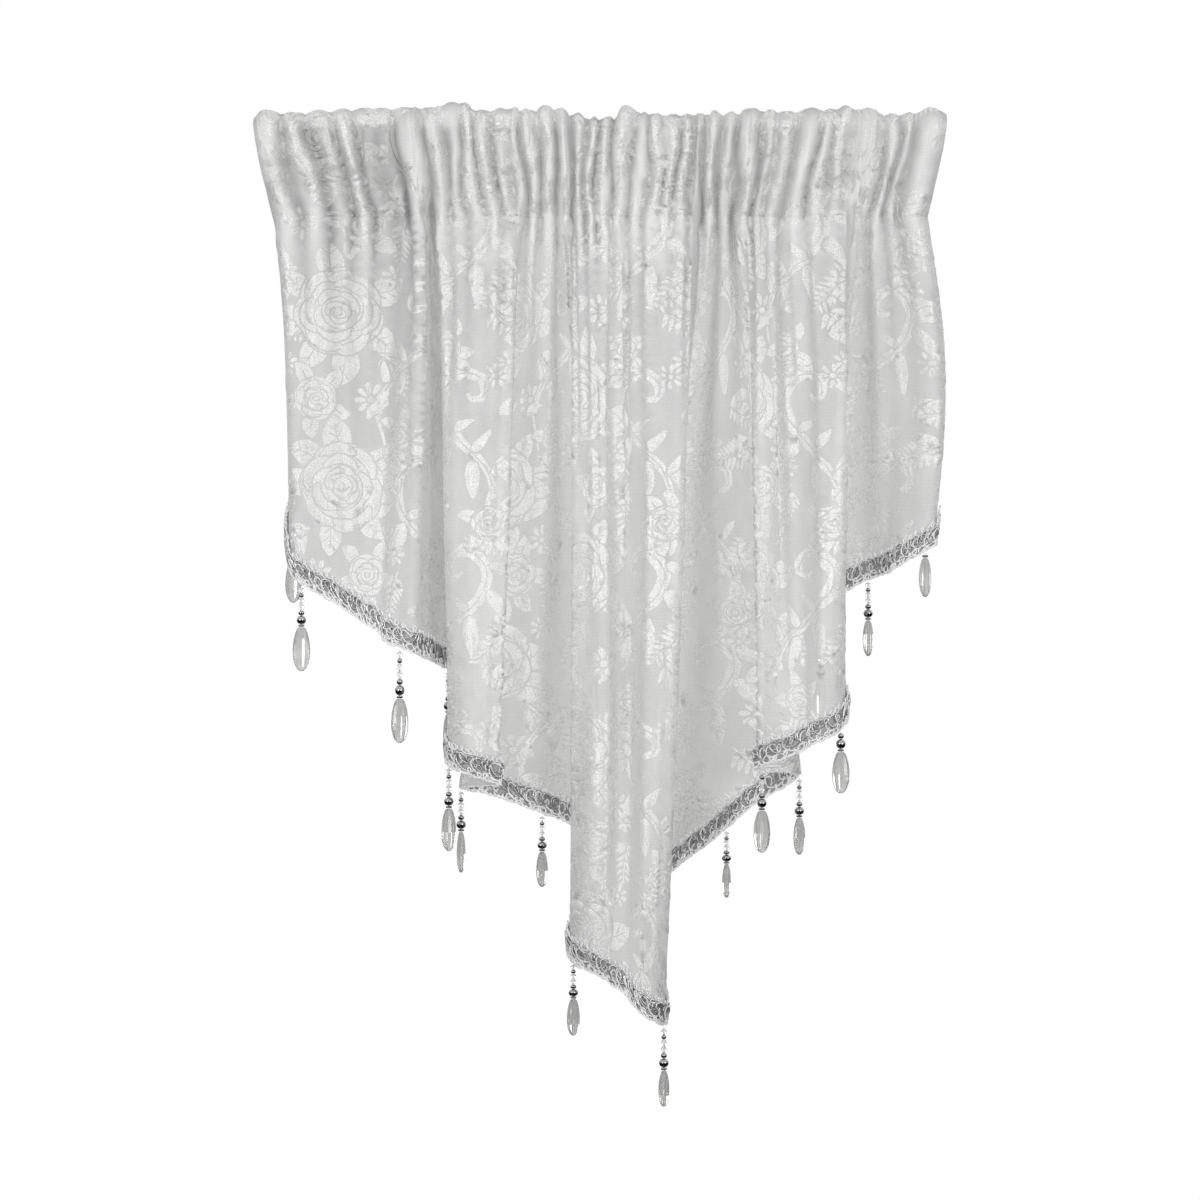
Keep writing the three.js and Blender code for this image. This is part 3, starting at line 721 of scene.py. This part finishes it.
def lacePattern(width, top, bottom):
    # half-drop repeat: columns of roses over columns of scrolls, ferns and daisies
    repeatAcross, repeatDown = lace["repeat"]
    under, over = [], []

    def ragged(shapes):
        return [(outline + lace["ragged"] * chanceOffsets(chance, len(outline)), figure)
                for outline, figure in shapes]

    for column in range(-1, int(width / repeatAcross) + 2):
        across = lace["firstRose"][0] + column * repeatAcross
        between = across + repeatAcross / 2
        slip = repeatDown / 2 if column % 2 else 0.0
        for row in range(int(top / repeatDown) - 3, int(bottom / repeatDown) + 2):
            chance = random.Random(100 * column + row)
            down = lace["firstRose"][1] + row * repeatDown + slip
            mirrored = (row + column) % 2 == 1
            side = -1 if mirrored else 1
            fernTurns = (0.6, 2.7, 1.0) if side > 0 else (2.5, 0.4, 2.1)
            under += ragged(placed(fern(36, 8, 0.3), (across + side * 26, down + 26), fernTurns[0]))
            under += ragged(placed(fern(30, 7, -0.3), (across - side * 30, down - 22), fernTurns[1]))
            under += ragged(placed(scroll(64), (between - side * 4, down - 4), 0.12, mirrored))
            under += ragged(placed(fern(28, 6, -0.3), (between + side * 14, down + 56), fernTurns[2]))
            over += ragged(roseSpray((across, down), 31, 0.4 + 1.7 * row + column, chance, mirrored))
            over += ragged(budSpray((across - side * 17, down + 58), 15, row + 0.5 * column, chance))
            over += ragged(placed(daisy(11.5, 0.3), (across + side * 22, down + 58)))
            over += ragged(placed(daisy(8.5, 0.1, 8), (across - side * 44, down + 44)))
            over += ragged(budSpray((between + side * 16, down - 34), 12, 2.0 * row + column, chance))
            over += ragged(placed(daisy(10, 0.1, 8), (between + side * 27, down + 34)))
            over += ragged(placed(daisy(8, 0.4, 8), (between - side * 26, down - 24)))
    return under + over


def insideOf(points, outline):
    x, y = points[:, 0][:, None], points[:, 1][:, None]
    x1, y1 = outline[:, 0][None], outline[:, 1][None]
    x2, y2 = np.roll(x1, -1, axis=1), np.roll(y1, -1, axis=1)
    crosses = (y1 > y) != (y2 > y)
    meet = x1 + (y - y1) * (x2 - x1) / np.where(np.abs(y2 - y1) < 1e-12, 1e-12, y2 - y1)
    return np.sum(crosses & (x < meet), axis=1) % 2 == 1


def figureMap(shapes, low, high):
    # a fine map of where the figures end up once every outline is painted over the ones before it
    cell = lace["mapCell"]
    columns, rows = (np.ceil((high - low) / cell).astype(int) + 1)
    painted = np.zeros((rows, columns), bool)
    for outline, isFigure in shapes:
        first = np.maximum(np.floor((outline.min(axis=0) - low) / cell).astype(int), 0)
        last = np.minimum(np.ceil((outline.max(axis=0) - low) / cell).astype(int), (columns, rows))
        if np.any(last <= first):
            continue
        x, y = np.meshgrid(*(low[axis] + np.arange(first[axis], last[axis]) * cell for axis in (0, 1)))
        inside = insideOf(np.column_stack([x.ravel(), y.ravel()]), outline).reshape(x.shape)
        painted[first[1]:last[1], first[0]:last[0]][inside] = isFigure

    def at(points):
        spots = np.round((points - low) / cell).astype(int)
        return painted[np.clip(spots[:, 1], 0, rows - 1), np.clip(spots[:, 0], 0, columns - 1)]

    return at


def shownLines(outline, isFigureAt):
    # the stretches of an outline that part figure from net where all is painted
    after = np.roll(outline, -1, axis=0)
    along = after - outline
    aside = np.column_stack([-along[:, 1], along[:, 0]])
    aside *= lace["mapCell"] / (np.linalg.norm(aside, axis=1)[:, None] + 1e-9)
    shown = np.zeros(len(outline), bool)
    for share in (0.15, 0.5, 0.85):     # places along each line that are looked at
        middle = outline + along * share
        shown |= isFigureAt(middle + aside) != isFigureAt(middle - aside)
    return shown


def laceCloth(edge, shapes, stepAcross, stepDown, cell):
    # triangles of the flat cloth inside the edge, cut along the outlines of the figures
    low, high = edge.min(axis=0), edge.max(axis=0)
    shapes = [(outline, figure) for outline, figure in shapes
              if np.all(outline.max(axis=0) > low) and np.all(outline.min(axis=0) < high)]
    isFigureAt = figureMap(shapes, low, high)
    points, lines, count = [edge], [(k, (k + 1) % len(edge)) for k in range(len(edge))], len(edge)
    for outline, _ in shapes:
        shown = shownLines(outline, isFigureAt)
        kept = np.flatnonzero(shown | np.roll(shown, 1))
        number = np.full(len(outline), -1)
        number[kept] = count + np.arange(len(kept))
        lines.extend((number[k], number[(k + 1) % len(outline)]) for k in np.flatnonzero(shown))
        points.append(outline[kept])
        count += len(kept)
    every = np.vstack(points)
    ends = np.array(lines)
    taken = set()
    for share in (0.0, 0.34, 0.67):     # places along each line that free points keep away from
        spots = np.round((every[ends[:, 0]] * (1 - share) + every[ends[:, 1]] * share) / cell).astype(int)
        taken.update(map(tuple, spots))
    across, down = np.meshgrid(np.arange(low[0], high[0], stepAcross), np.arange(low[1], high[1], stepDown))
    down = down + (np.round(across / stepAcross) % 2) * stepDown / 2
    free = np.column_stack([across.ravel(), down.ravel()])
    free = free[insideOf(free, edge)]
    spots = np.round(free / cell).astype(int)
    clear = [not any((a + i, b + j) in taken for i in (-1, 0, 1) for j in (-1, 0, 1)) for a, b in spots]
    every = np.vstack([every, free[np.array(clear)]])
    lines = [tuple(map(int, line)) for line in lines]
    made = delaunay_2d_cdt([Vector(point) for point in every], lines, [], 0, 1e-3, False)
    flat = np.array([(v.x, v.y) for v in made[0]])
    faces = np.array([face for face in made[2] if len(face) == 3])
    middles = flat[faces].mean(axis=1)
    keep = insideOf(middles, edge)
    faces, middles = faces[keep], middles[keep]
    figure = np.zeros(len(faces), bool)
    order = np.argsort(middles[:, 0])
    sortedAcross = middles[order, 0]
    for outline, isFigure in shapes:
        start = np.searchsorted(sortedAcross, outline[:, 0].min())
        stop = np.searchsorted(sortedAcross, outline[:, 0].max())
        near = order[start:stop]
        near = near[(middles[near, 1] > outline[:, 1].min()) & (middles[near, 1] < outline[:, 1].max())]
        if len(near):
            figure[near[insideOf(middles[near], outline)]] = isFigure
    used = np.unique(faces)
    renumber = np.zeros(len(flat), int)
    renumber[used] = np.arange(len(used))
    faces, flat = renumber[faces], flat[used]
    area = np.cross(flat[faces[:, 1]] - flat[faces[:, 0]], flat[faces[:, 2]] - flat[faces[:, 0]])
    faces[area < 0] = faces[area < 0][:, ::-1]
    return flat, faces, figure, float(np.abs(area).sum() / 2)


def figureRise(count, faces, figure):
    # points with satin all around them stand off the net
    rise = np.ones(count, bool)
    rise[faces[~figure].ravel()] = False
    return rise * lace["raised"]


# lace panel: the flat cloth is cut to the V-shaped hem and hung along the creases
def panelEdge():
    across = np.linspace(0, flatWidth, int(flatWidth / lace["stepAcross"]))
    hem = np.column_stack([across, dropAt(creaseAt(across))])
    top = np.column_stack([across, np.full(len(across), -drape["tucked"])])
    sides = [np.linspace(hem[k, 1], 0, int(hem[k, 1] / lace["stepDown"]))[1:-1] for k in (-1, 0)]
    right = np.column_stack([np.full(len(sides[0]), flatWidth), sides[0]])
    left = np.column_stack([np.zeros(len(sides[1])), sides[1][::-1]])
    return np.vstack([hem, right, top[::-1], left])


panelOutline = panelEdge()
panelLength = float(panelOutline[:, 1].max())
flat, faces, figure, panelArea = laceCloth(panelOutline, lacePattern(flatWidth, 0.0, panelLength),
                                           lace["stepAcross"], lace["stepDown"], lace["clear"])
creaseOf = creaseAt(flat[:, 0])
shareOf = np.minimum(flat[:, 1] / dropAt(creaseOf), 1)
points = clothPoint(creaseOf, shareOf, figureRise(len(flat), faces, figure))
# the panel carries its painted shade between the gathers and on the left edge
panel = addMesh("lacePanel", points, faces, [laceNet, laceSatin], figure.astype(int), flat,
                paintedShades=clothPaintedShade(creaseOf, shareOf))
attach(panel, "root")
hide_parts("lace_panel")
print("lace panel:", len(faces), "triangles, figures on", round(float(figure.mean()), 2), "of them")


# heading: the same lace doubled over into the rod pocket and drawn up in gathers
# the pocket in section runs from the front of the stitching over the top to the back
pocketSection = np.array([(-half, z) for half, z in heading["pocketHalf"]] + [(0, heading["pocketTop"])]
                         + [(half, z) for half, z in heading["pocketHalf"][::-1]])
sectionCurve = guideCurve(pocketSection)
sectionNumber = np.linspace(0, len(pocketSection) - 1, heading["samples"])
sectionPlace = lengthAlong(sectionCurve(sectionNumber))
headingLength = float(sectionPlace[-1])


def headingFold(flatAcross, around):
    # place along the rod, height, share of the way down, outward swell and painted shade
    x = seamLine(creaseAt(flatAcross))[:, 0] * heading["width"] / heading["seamWidth"]
    z = sectionCurve(np.interp(around, sectionPlace, sectionNumber))[:, 1]
    down = np.clip(-z / heading["height"], 0, 1)
    atTop = np.clip(1 + (z - heading["pocketTop"]) / heading["crestDepth"], 0, 1)
    x = x - np.interp(x, gatherEdges + edgeLeans, edgeLeans) * (1 - down)
    fine = fineRelief(x, z)
    shade = paintedShadeOf(x, gatherSwell(x, down, atTop, heading["shadeShape"]) + fine)
    return x, z, down, gatherSwell(x, down, atTop, heading["crestShape"]) + fine, shade


def headingPoint(flatAcross, around, out=0.0):
    number, step = np.interp(around, sectionPlace, sectionNumber), 0.02
    along = sectionCurve(number + step) - sectionCurve(number - step)
    outward = np.column_stack([-along[:, 1], along[:, 0]])
    outward /= np.linalg.norm(outward, axis=1)[:, None] + 1e-9
    x, z, down, swell, _ = headingFold(flatAcross, around)
    rise = eased(np.clip((heading["height"] + z) / heading["seamReach"], 0, 1))
    deepest, soft = heading["rodRoom"], heading["rodSoft"]
    puffed = (deepest + soft * np.logaddexp(0, (swell - deepest) / soft)) * rise + out
    held = swell * heading["pinch"] * (1 - rise)
    narrowed = x * (1 - (1 - heading["seamWidth"] / heading["width"]) * down ** heading["sideCurve"])
    middle = seamDepth(narrowed) * (1 - rise) + heading["setBack"] * rise
    return np.column_stack([narrowed, sectionCurve(number)[:, 0] + outward[:, 0] * puffed - held + middle,
                            z + outward[:, 1] * puffed])


across = np.linspace(0, flatWidth, int(flatWidth / heading["stepAcross"]))
upright = np.linspace(-headingLength, 0, int(headingLength / heading["stepDown"]))[1:-1]
headingEdge = np.vstack([
    np.column_stack([across, np.zeros(len(across))]),
    np.column_stack([np.full(len(upright), flatWidth), upright[::-1]]),
    np.column_stack([across[::-1], np.full(len(across), -headingLength)]),
    np.column_stack([np.zeros(len(upright)), upright])])
flat, faces, figure, _ = laceCloth(headingEdge, lacePattern(flatWidth, -headingLength, 0.0),
                                   heading["stepAcross"], heading["stepDown"], heading["clear"])
points = headingPoint(flat[:, 0], -flat[:, 1], figureRise(len(flat), faces, figure))
# the heading carries its painted shade between the gathers
pocket = addMesh("rodPocketHeading", points, faces, [laceNet, laceSatin], figure.astype(int), flat,
                 paintedShades=headingFold(flat[:, 0], -flat[:, 1])[4])
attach(pocket, "root")
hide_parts("rod_pocket_heading")
print("heading:", len(faces), "triangles")


# one row of stitches across the foot of the heading, front and back
stitching = {
    "length": 2.6, "gap": 1.1, "radius": 0.2, "sides": 5, "inset": 0.5, "above": 0.8,
    "sag": (-0.6, -0.15, -0.05, -0.15, -0.6),   # how far each stitch sinks into the cloth on its way
}
store = MeshStore()
pitch = stitching["length"] + stitching["gap"]
for k in range(int(heading["seamWidth"] / pitch)):
    left = -heading["seamWidth"] / 2 + k * pitch + stitching["inset"]
    x = np.linspace(left, left + stitching["length"], len(stitching["sag"]))
    flatX = np.interp(x, np.maximum.accumulate(denseSeam[:, 0]), flatPlace)
    for around in (stitching["above"], headingLength - stitching["above"]):
        spot = headingPoint(flatX, np.full(len(x), around), np.array(stitching["sag"]))
        store.add(*tube(spot, stitching["radius"], stitching["sides"]))
stitches = store.piece("headingStitches", [sewingThread])
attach(stitches, "root")
print("stitches:", len(stitches.data.polygons), "faces")


# hem braid: a tape with a picot edge, looped silver chains and a looped lower edge
braid = {
    "height": 19.0, "belowHem": 1.5, "off": 0.9, "tapeStep": 1.6,
    "stepsPerMm": 1.7, "fewestSteps": 7, "mostSteps": 14, "sides": 4,
    "samples": 2400, "endRoom": 0.3, "liftTurn": 0.8,
    # how uneven the loops are, and the waves of their size and drift: share and turn, twice
    "uneven": 0.5, "sizeWaves": (0.6, 0.37, 0.4, 0.83), "driftWaves": (0.5, 0.23, 0.3, 0.61),
    # height and thickness of the tape, from its lower edge up
    "tape": ((1.8, 0.1), (3.2, 0.6), (5.2, 0.5), (7.2, 0.7), (9.4, 0.6), (11.6, 0.7), (13.6, 0.5),
             (15.4, 0.1)),
    # pitch, swing back, reach up and down, middle height, off the tape, lift, phase, yarn radius, material
    "loops": ((8.6, 4.7, 4.4, 9.6, 1.5, 0.5, 0.0, 0.65, 1), (7.3, 4.1, 4.6, 8.4, 1.3, 0.5, 2.6, 0.5, 2),
              (6.1, 3.2, 3.0, 11.0, 1.6, 0.5, 4.2, 0.55, 1), (3.9, 1.6, 1.9, 16.4, 0.9, 0.3, 0.0, 0.5, 2),
              (5.1, 2.4, 2.2, 3.4, 1.2, 0.35, 0.4, 0.55, 2), (3.5, 0.4, 0.6, 1.6, 0.9, 0.3, 0.0, 0.5, 2)),
}
braidCreases = np.linspace(0, lastCrease, braid["samples"])


def braidShare(crease, height):
    return 1 + (braid["belowHem"] - height) / dropAt(crease)


middleLine = clothPoint(braidCreases, braidShare(braidCreases, braid["height"] / 2))
braidPlace = lengthAlong(middleLine)
braidLength = float(braidPlace[-1])


def braidPoint(along, height, out):
    crease = np.interp(along, braidPlace, braidCreases)
    return clothPoint(crease, braidShare(crease, height), np.asarray(out) + braid["off"])


def loopLine(pitch, swing, reach, middle, out, lift, phase):
    # a yarn that loops back on itself at every pitch, a little unevenly
    count = int(braidLength / pitch)
    steps = int(np.clip(pitch * braid["stepsPerMm"], braid["fewestSteps"], braid["mostSteps"]))
    turn = np.linspace(0, 2 * np.pi * count, count * steps)
    large, slow, small, quick = braid["sizeWaves"]
    size = large * np.sin(turn * slow + phase + middle) + small * np.sin(turn * quick + 2 * phase)
    size = 1 + braid["uneven"] * size
    large, slow, small, quick = braid["driftWaves"]
    drift = large * np.sin(turn * slow + middle) + small * np.sin(turn * quick + phase)
    along = turn / (2 * np.pi) * pitch - swing * size * np.sin(turn + phase) + braid["uneven"] * pitch * drift
    height = middle + reach * size * np.cos(turn + phase)
    along = np.clip(along, braid["endRoom"], braidLength - braid["endRoom"])
    return braidPoint(along, height, out + lift * np.sin(turn + phase + braid["liftTurn"]))


store = MeshStore()
tapeAlong = np.linspace(0, braidLength, int(braidLength / braid["tapeStep"]))
rows = [braidPoint(tapeAlong, height, out) for height, out in braid["tape"]]
wide = len(tapeAlong)
tapeFaces = [(start + k, start + k + 1, start + wide + k + 1, start + wide + k)
             for start in range(0, (len(rows) - 1) * wide, wide) for k in range(wide - 1)]
store.add(np.vstack(rows), tapeFaces, 0)
for *shape, yarn, material in braid["loops"]:
    store.add(*tube(loopLine(*shape), yarn, braid["sides"], (0, 1, 0)), material)
hemBraid = store.piece("hemBraid", [braidTape, braidSilver, braidYarn])
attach(hemBraid, "root")
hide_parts("hem_braid")
print("hem braid:", len(hemBraid.data.polygons), "faces along", round(braidLength), "mm")


# pendants: each string and drop is set in the place of its solid
pendant = {
    "count": 18, "beadSides": 14, "hole": 0.45, "thread": 0.3, "threadSides": 5, "bareThread": 0.8,
    "beadShare": 0.97,      # of the room that each bead has along the thread
    "roundest": 0.62,       # a clear bead's radius is at most this share of its length
    "capShape": 0.55, "silverShape": 0.8, "clearShape": 0.7,    # below 1 is a squarer bead
    "capLength": 2.0,       # a shorter bead is a cap
    "dropSides": 16, "flute": 0.86, "dropWidth": 11.6, "dropThickness": 6.0,
    # for each pendant the turn of its drop in degrees, and how many kinds of bead show on its string
    "turns": (20, 10, -8, 70, 35, 80, 60, 15, 50, 65, 30, 75, 55, 15, 5, 40, 62, 48),
    "shown": (6, 6, 6, 6, 6, 6, 6, 6, 6, 6, 6, 6, 6, 6, 3, 6, 6, 1),
}
# from the top down: length, radius, whether it is silver, how many beads fill the length
beadKinds = ((4.0, 1.9, False, 1), (3.0, 1.6, True, 1), (8.8, 1.9, False, 2), (3.6, 2.0, True, 1),
             (6.0, 3.1, True, 1), (1.8, 2.1, True, 1))


def beadProfile(length, radius, hole, square, steps=9):
    # cut short at both ends, where the thread goes in
    profile = []
    for k in range(steps):
        angle = math.pi * (k + 0.35) / (steps - 0.3)
        profile.append((max(hole, radius * math.sin(angle) ** square), -length / 2 * math.cos(angle)))
    return profile


def dropProfile(length, halfWidth):
    # shares up from the tip and of the half width, with a drilled neck on top
    shares = ((0, 0.16), (0.03, 0.4), (0.1, 0.66), (0.19, 0.83), (0.3, 0.95), (0.45, 1.0), (0.6, 0.96),
              (0.74, 0.87), (0.86, 0.72), (0.95, 0.55), (1.0, 0.34))
    return [(halfWidth * wide, length * up) for up, wide in shares]


for number in range(1, pendant["count"] + 1):
    label = f"{number:02d}"
    low, high = (np.array(corner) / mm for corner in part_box("bead_string_" + label))
    middle = (low + high) / 2
    shown = beadKinds[-pendant["shown"][number - 1]:]
    stretch = (high[2] - low[2] - pendant["bareThread"]) / sum(kind[0] for kind in shown)
    store = MeshStore()
    level = high[2] - pendant["bareThread"]
    for length, radius, silver, count in shown:
        each = length * stretch / count
        size = radius if silver else min(radius, each * pendant["roundest"])
        shape = "capShape" if length < pendant["capLength"] else "silverShape" if silver else "clearShape"
        profile = beadProfile(each * pendant["beadShare"], size, pendant["hole"], pendant[shape])
        for k in range(count):
            place = (middle[0], middle[1], level - each * (k + 0.5))
            store.add(*lathe(profile, pendant["beadSides"], place), 0 if silver else 1)
        level -= length * stretch
    thread = [(middle[0], middle[1], z) for z in np.linspace(low[2], high[2], 4)]
    store.add(*tube(thread, pendant["thread"], pendant["threadSides"], (1, 0, 0)), 2)
    beads = store.piece("beadString" + label, [silverBead, clearBead, sewingThread])
    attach(beads, "root")
    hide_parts("bead_string_" + label)
    low, high = (np.array(corner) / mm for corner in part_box("clear_drop_" + label))
    place = ((low[0] + high[0]) / 2, (low[1] + high[1]) / 2, low[2])
    store = MeshStore()
    store.add(*lathe(dropProfile(high[2] - low[2], pendant["dropWidth"] / 2), pendant["dropSides"], place,
                     (1.0, pendant["dropThickness"] / pendant["dropWidth"]),
                     math.radians(pendant["turns"][number - 1]), pendant["flute"]))
    drop = store.piece("clearDrop" + label, [clearDrop], False)
    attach(drop, "root")
    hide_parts("clear_drop_" + label)
print("pendants:", pendant["count"])


# studio: pale floor, soft light from both sides and the front, white beyond
studio = {
    "floorHeight": -1300.0, "floorSize": 4200.0,
    "cameraPlace": (-1.3, -2400.0, -328.7), "viewWidth": 800.0, "sensor": 36.0,
    "farthest": 50.0,       # metres that the camera sees
    "ambient": 0.38, "throughGlass": 0.8, "throughLace": 0.42,
    "mirroredAbove": 1.3, "mirroredBelow": 0.02, "mirrorEdge": (-0.15, 0.3),    # and where they meet
    "spread": 44.0,         # degrees over which each light fans out
    # place, aim, size, watts, whether it throws shadows, whether it shows in what shines
    "lights": (((-200, -2400, -380), (0, 0, -200), 700, 1.2, False, False),
               ((1350, -1950, -200), (0, 0, -200), 800, 0.95, True, True),
               ((-1350, -1950, -200), (0, 0, -200), 800, 0.95, True, True),
               ((2050, -1450, -200), (0, 0, -200), 800, 0.6, False, False),
               ((-2050, -1450, -200), (0, 0, -200), 800, 0.55, False, False),
               ((1350, 1950, -200), (0, 0, -200), 800, 1.2, True, False),
               ((-1350, 1950, -200), (0, 0, -200), 800, 1.2, True, False)),
}
floorMaterial = finish("paleFloor", (0.82, 0.82, 0.82), (0.88, 0.88, 0.88), grain,
                       {"Scale": 8.0, "Stretch": 1.0}, (0.7, 0.8), Emission_Color=(1, 1, 1, 1),
                       Emission_Strength=0.4)
half = studio["floorSize"] / 2
corners = ((-half, -half), (half, -half), (half, half), (-half, half))
floorPoints = [(x, y, studio["floorHeight"]) for x, y in corners]
floor = addMesh("floor", floorPoints, [(0, 1, 2, 3)], [floorMaterial])
floor.visible_glossy = False
floor.visible_diffuse = False


def aimed(thing, place, target):
    thing.location = Vector(place) * mm
    thing.rotation_euler = (Vector(target) - Vector(place)).to_track_quat("-Z", "Y").to_euler()
    bpy.context.scene.collection.objects.link(thing)


for number, (place, target, size, watts, shadows, shines) in enumerate(studio["lights"]):
    lamp = bpy.data.lights.new(f"softLight{number}", "AREA")
    lamp.size = size * mm
    lamp.energy = watts
    lamp.spread = math.radians(studio["spread"])
    lamp.use_shadow = shadows
    light = bpy.data.objects.new(lamp.name, lamp)
    light.visible_glossy = shines
    aimed(light, place, target)

camera = bpy.data.cameras.new("camera")
camera.sensor_width = studio["sensor"]
camera.lens = studio["sensor"] * -studio["cameraPlace"][1] / studio["viewWidth"]
camera.clip_end = studio["farthest"]
cameraObject = bpy.data.objects.new("camera", camera)
aimed(cameraObject, studio["cameraPlace"], (studio["cameraPlace"][0], 0, studio["cameraPlace"][2]))
bpy.context.scene.camera = cameraObject

world = bpy.data.worlds.new("studio")
bpy.context.scene.world = world
world.use_nodes = True
sky = world.node_tree
glow = sky.nodes["Background"]
glow.inputs["Color"].default_value = (1, 1, 1, 1)
# white to the camera but grey through the lace, soft for the cloth, light above and dark below in what shines
seen = sky.nodes.new("ShaderNodeLightPath")
direction = sky.nodes.new("ShaderNodeTexCoord")
split = addNode(sky, "SeparateXYZ", Vector=direction.outputs["Generated"])
mirrored = addNode(sky, "MapRange", Value=split.outputs["Z"], From_Min=studio["mirrorEdge"][0],
                   From_Max=studio["mirrorEdge"][1], To_Min=studio["mirroredBelow"],
                   To_Max=studio["mirroredAbove"])
shine = mathNode(sky, "MULTIPLY", seen.outputs["Is Glossy Ray"], mirrored.outputs["Result"])
glass = mathNode(sky, "MULTIPLY", seen.outputs["Is Transmission Ray"], studio["throughGlass"])
neither = mathNode(sky, "SUBTRACT", mathNode(sky, "SUBTRACT", 1.0, seen.outputs["Is Glossy Ray"]),
                   seen.outputs["Is Transmission Ray"])
plain = mathNode(sky, "MULTIPLY", mathNode(sky, "MAXIMUM", neither, 0.0), studio["ambient"])
other = mathNode(sky, "SUBTRACT", 1.0, seen.outputs["Is Camera Ray"])
unseen = mathNode(sky, "MULTIPLY", other, mathNode(sky, "ADD", mathNode(sky, "ADD", shine, glass), plain))
behind = mathNode(sky, "MINIMUM", seen.outputs["Transparent Depth"], 1.0)
backdrop = mathNode(sky, "MULTIPLY_ADD", behind, studio["throughLace"] - 1.0, 1.0)
direct = mathNode(sky, "MULTIPLY", seen.outputs["Is Camera Ray"], backdrop)
sky.links.new(mathNode(sky, "ADD", direct, unseen), glow.inputs["Strength"])
bpy.context.scene.view_settings.view_transform = "Standard"
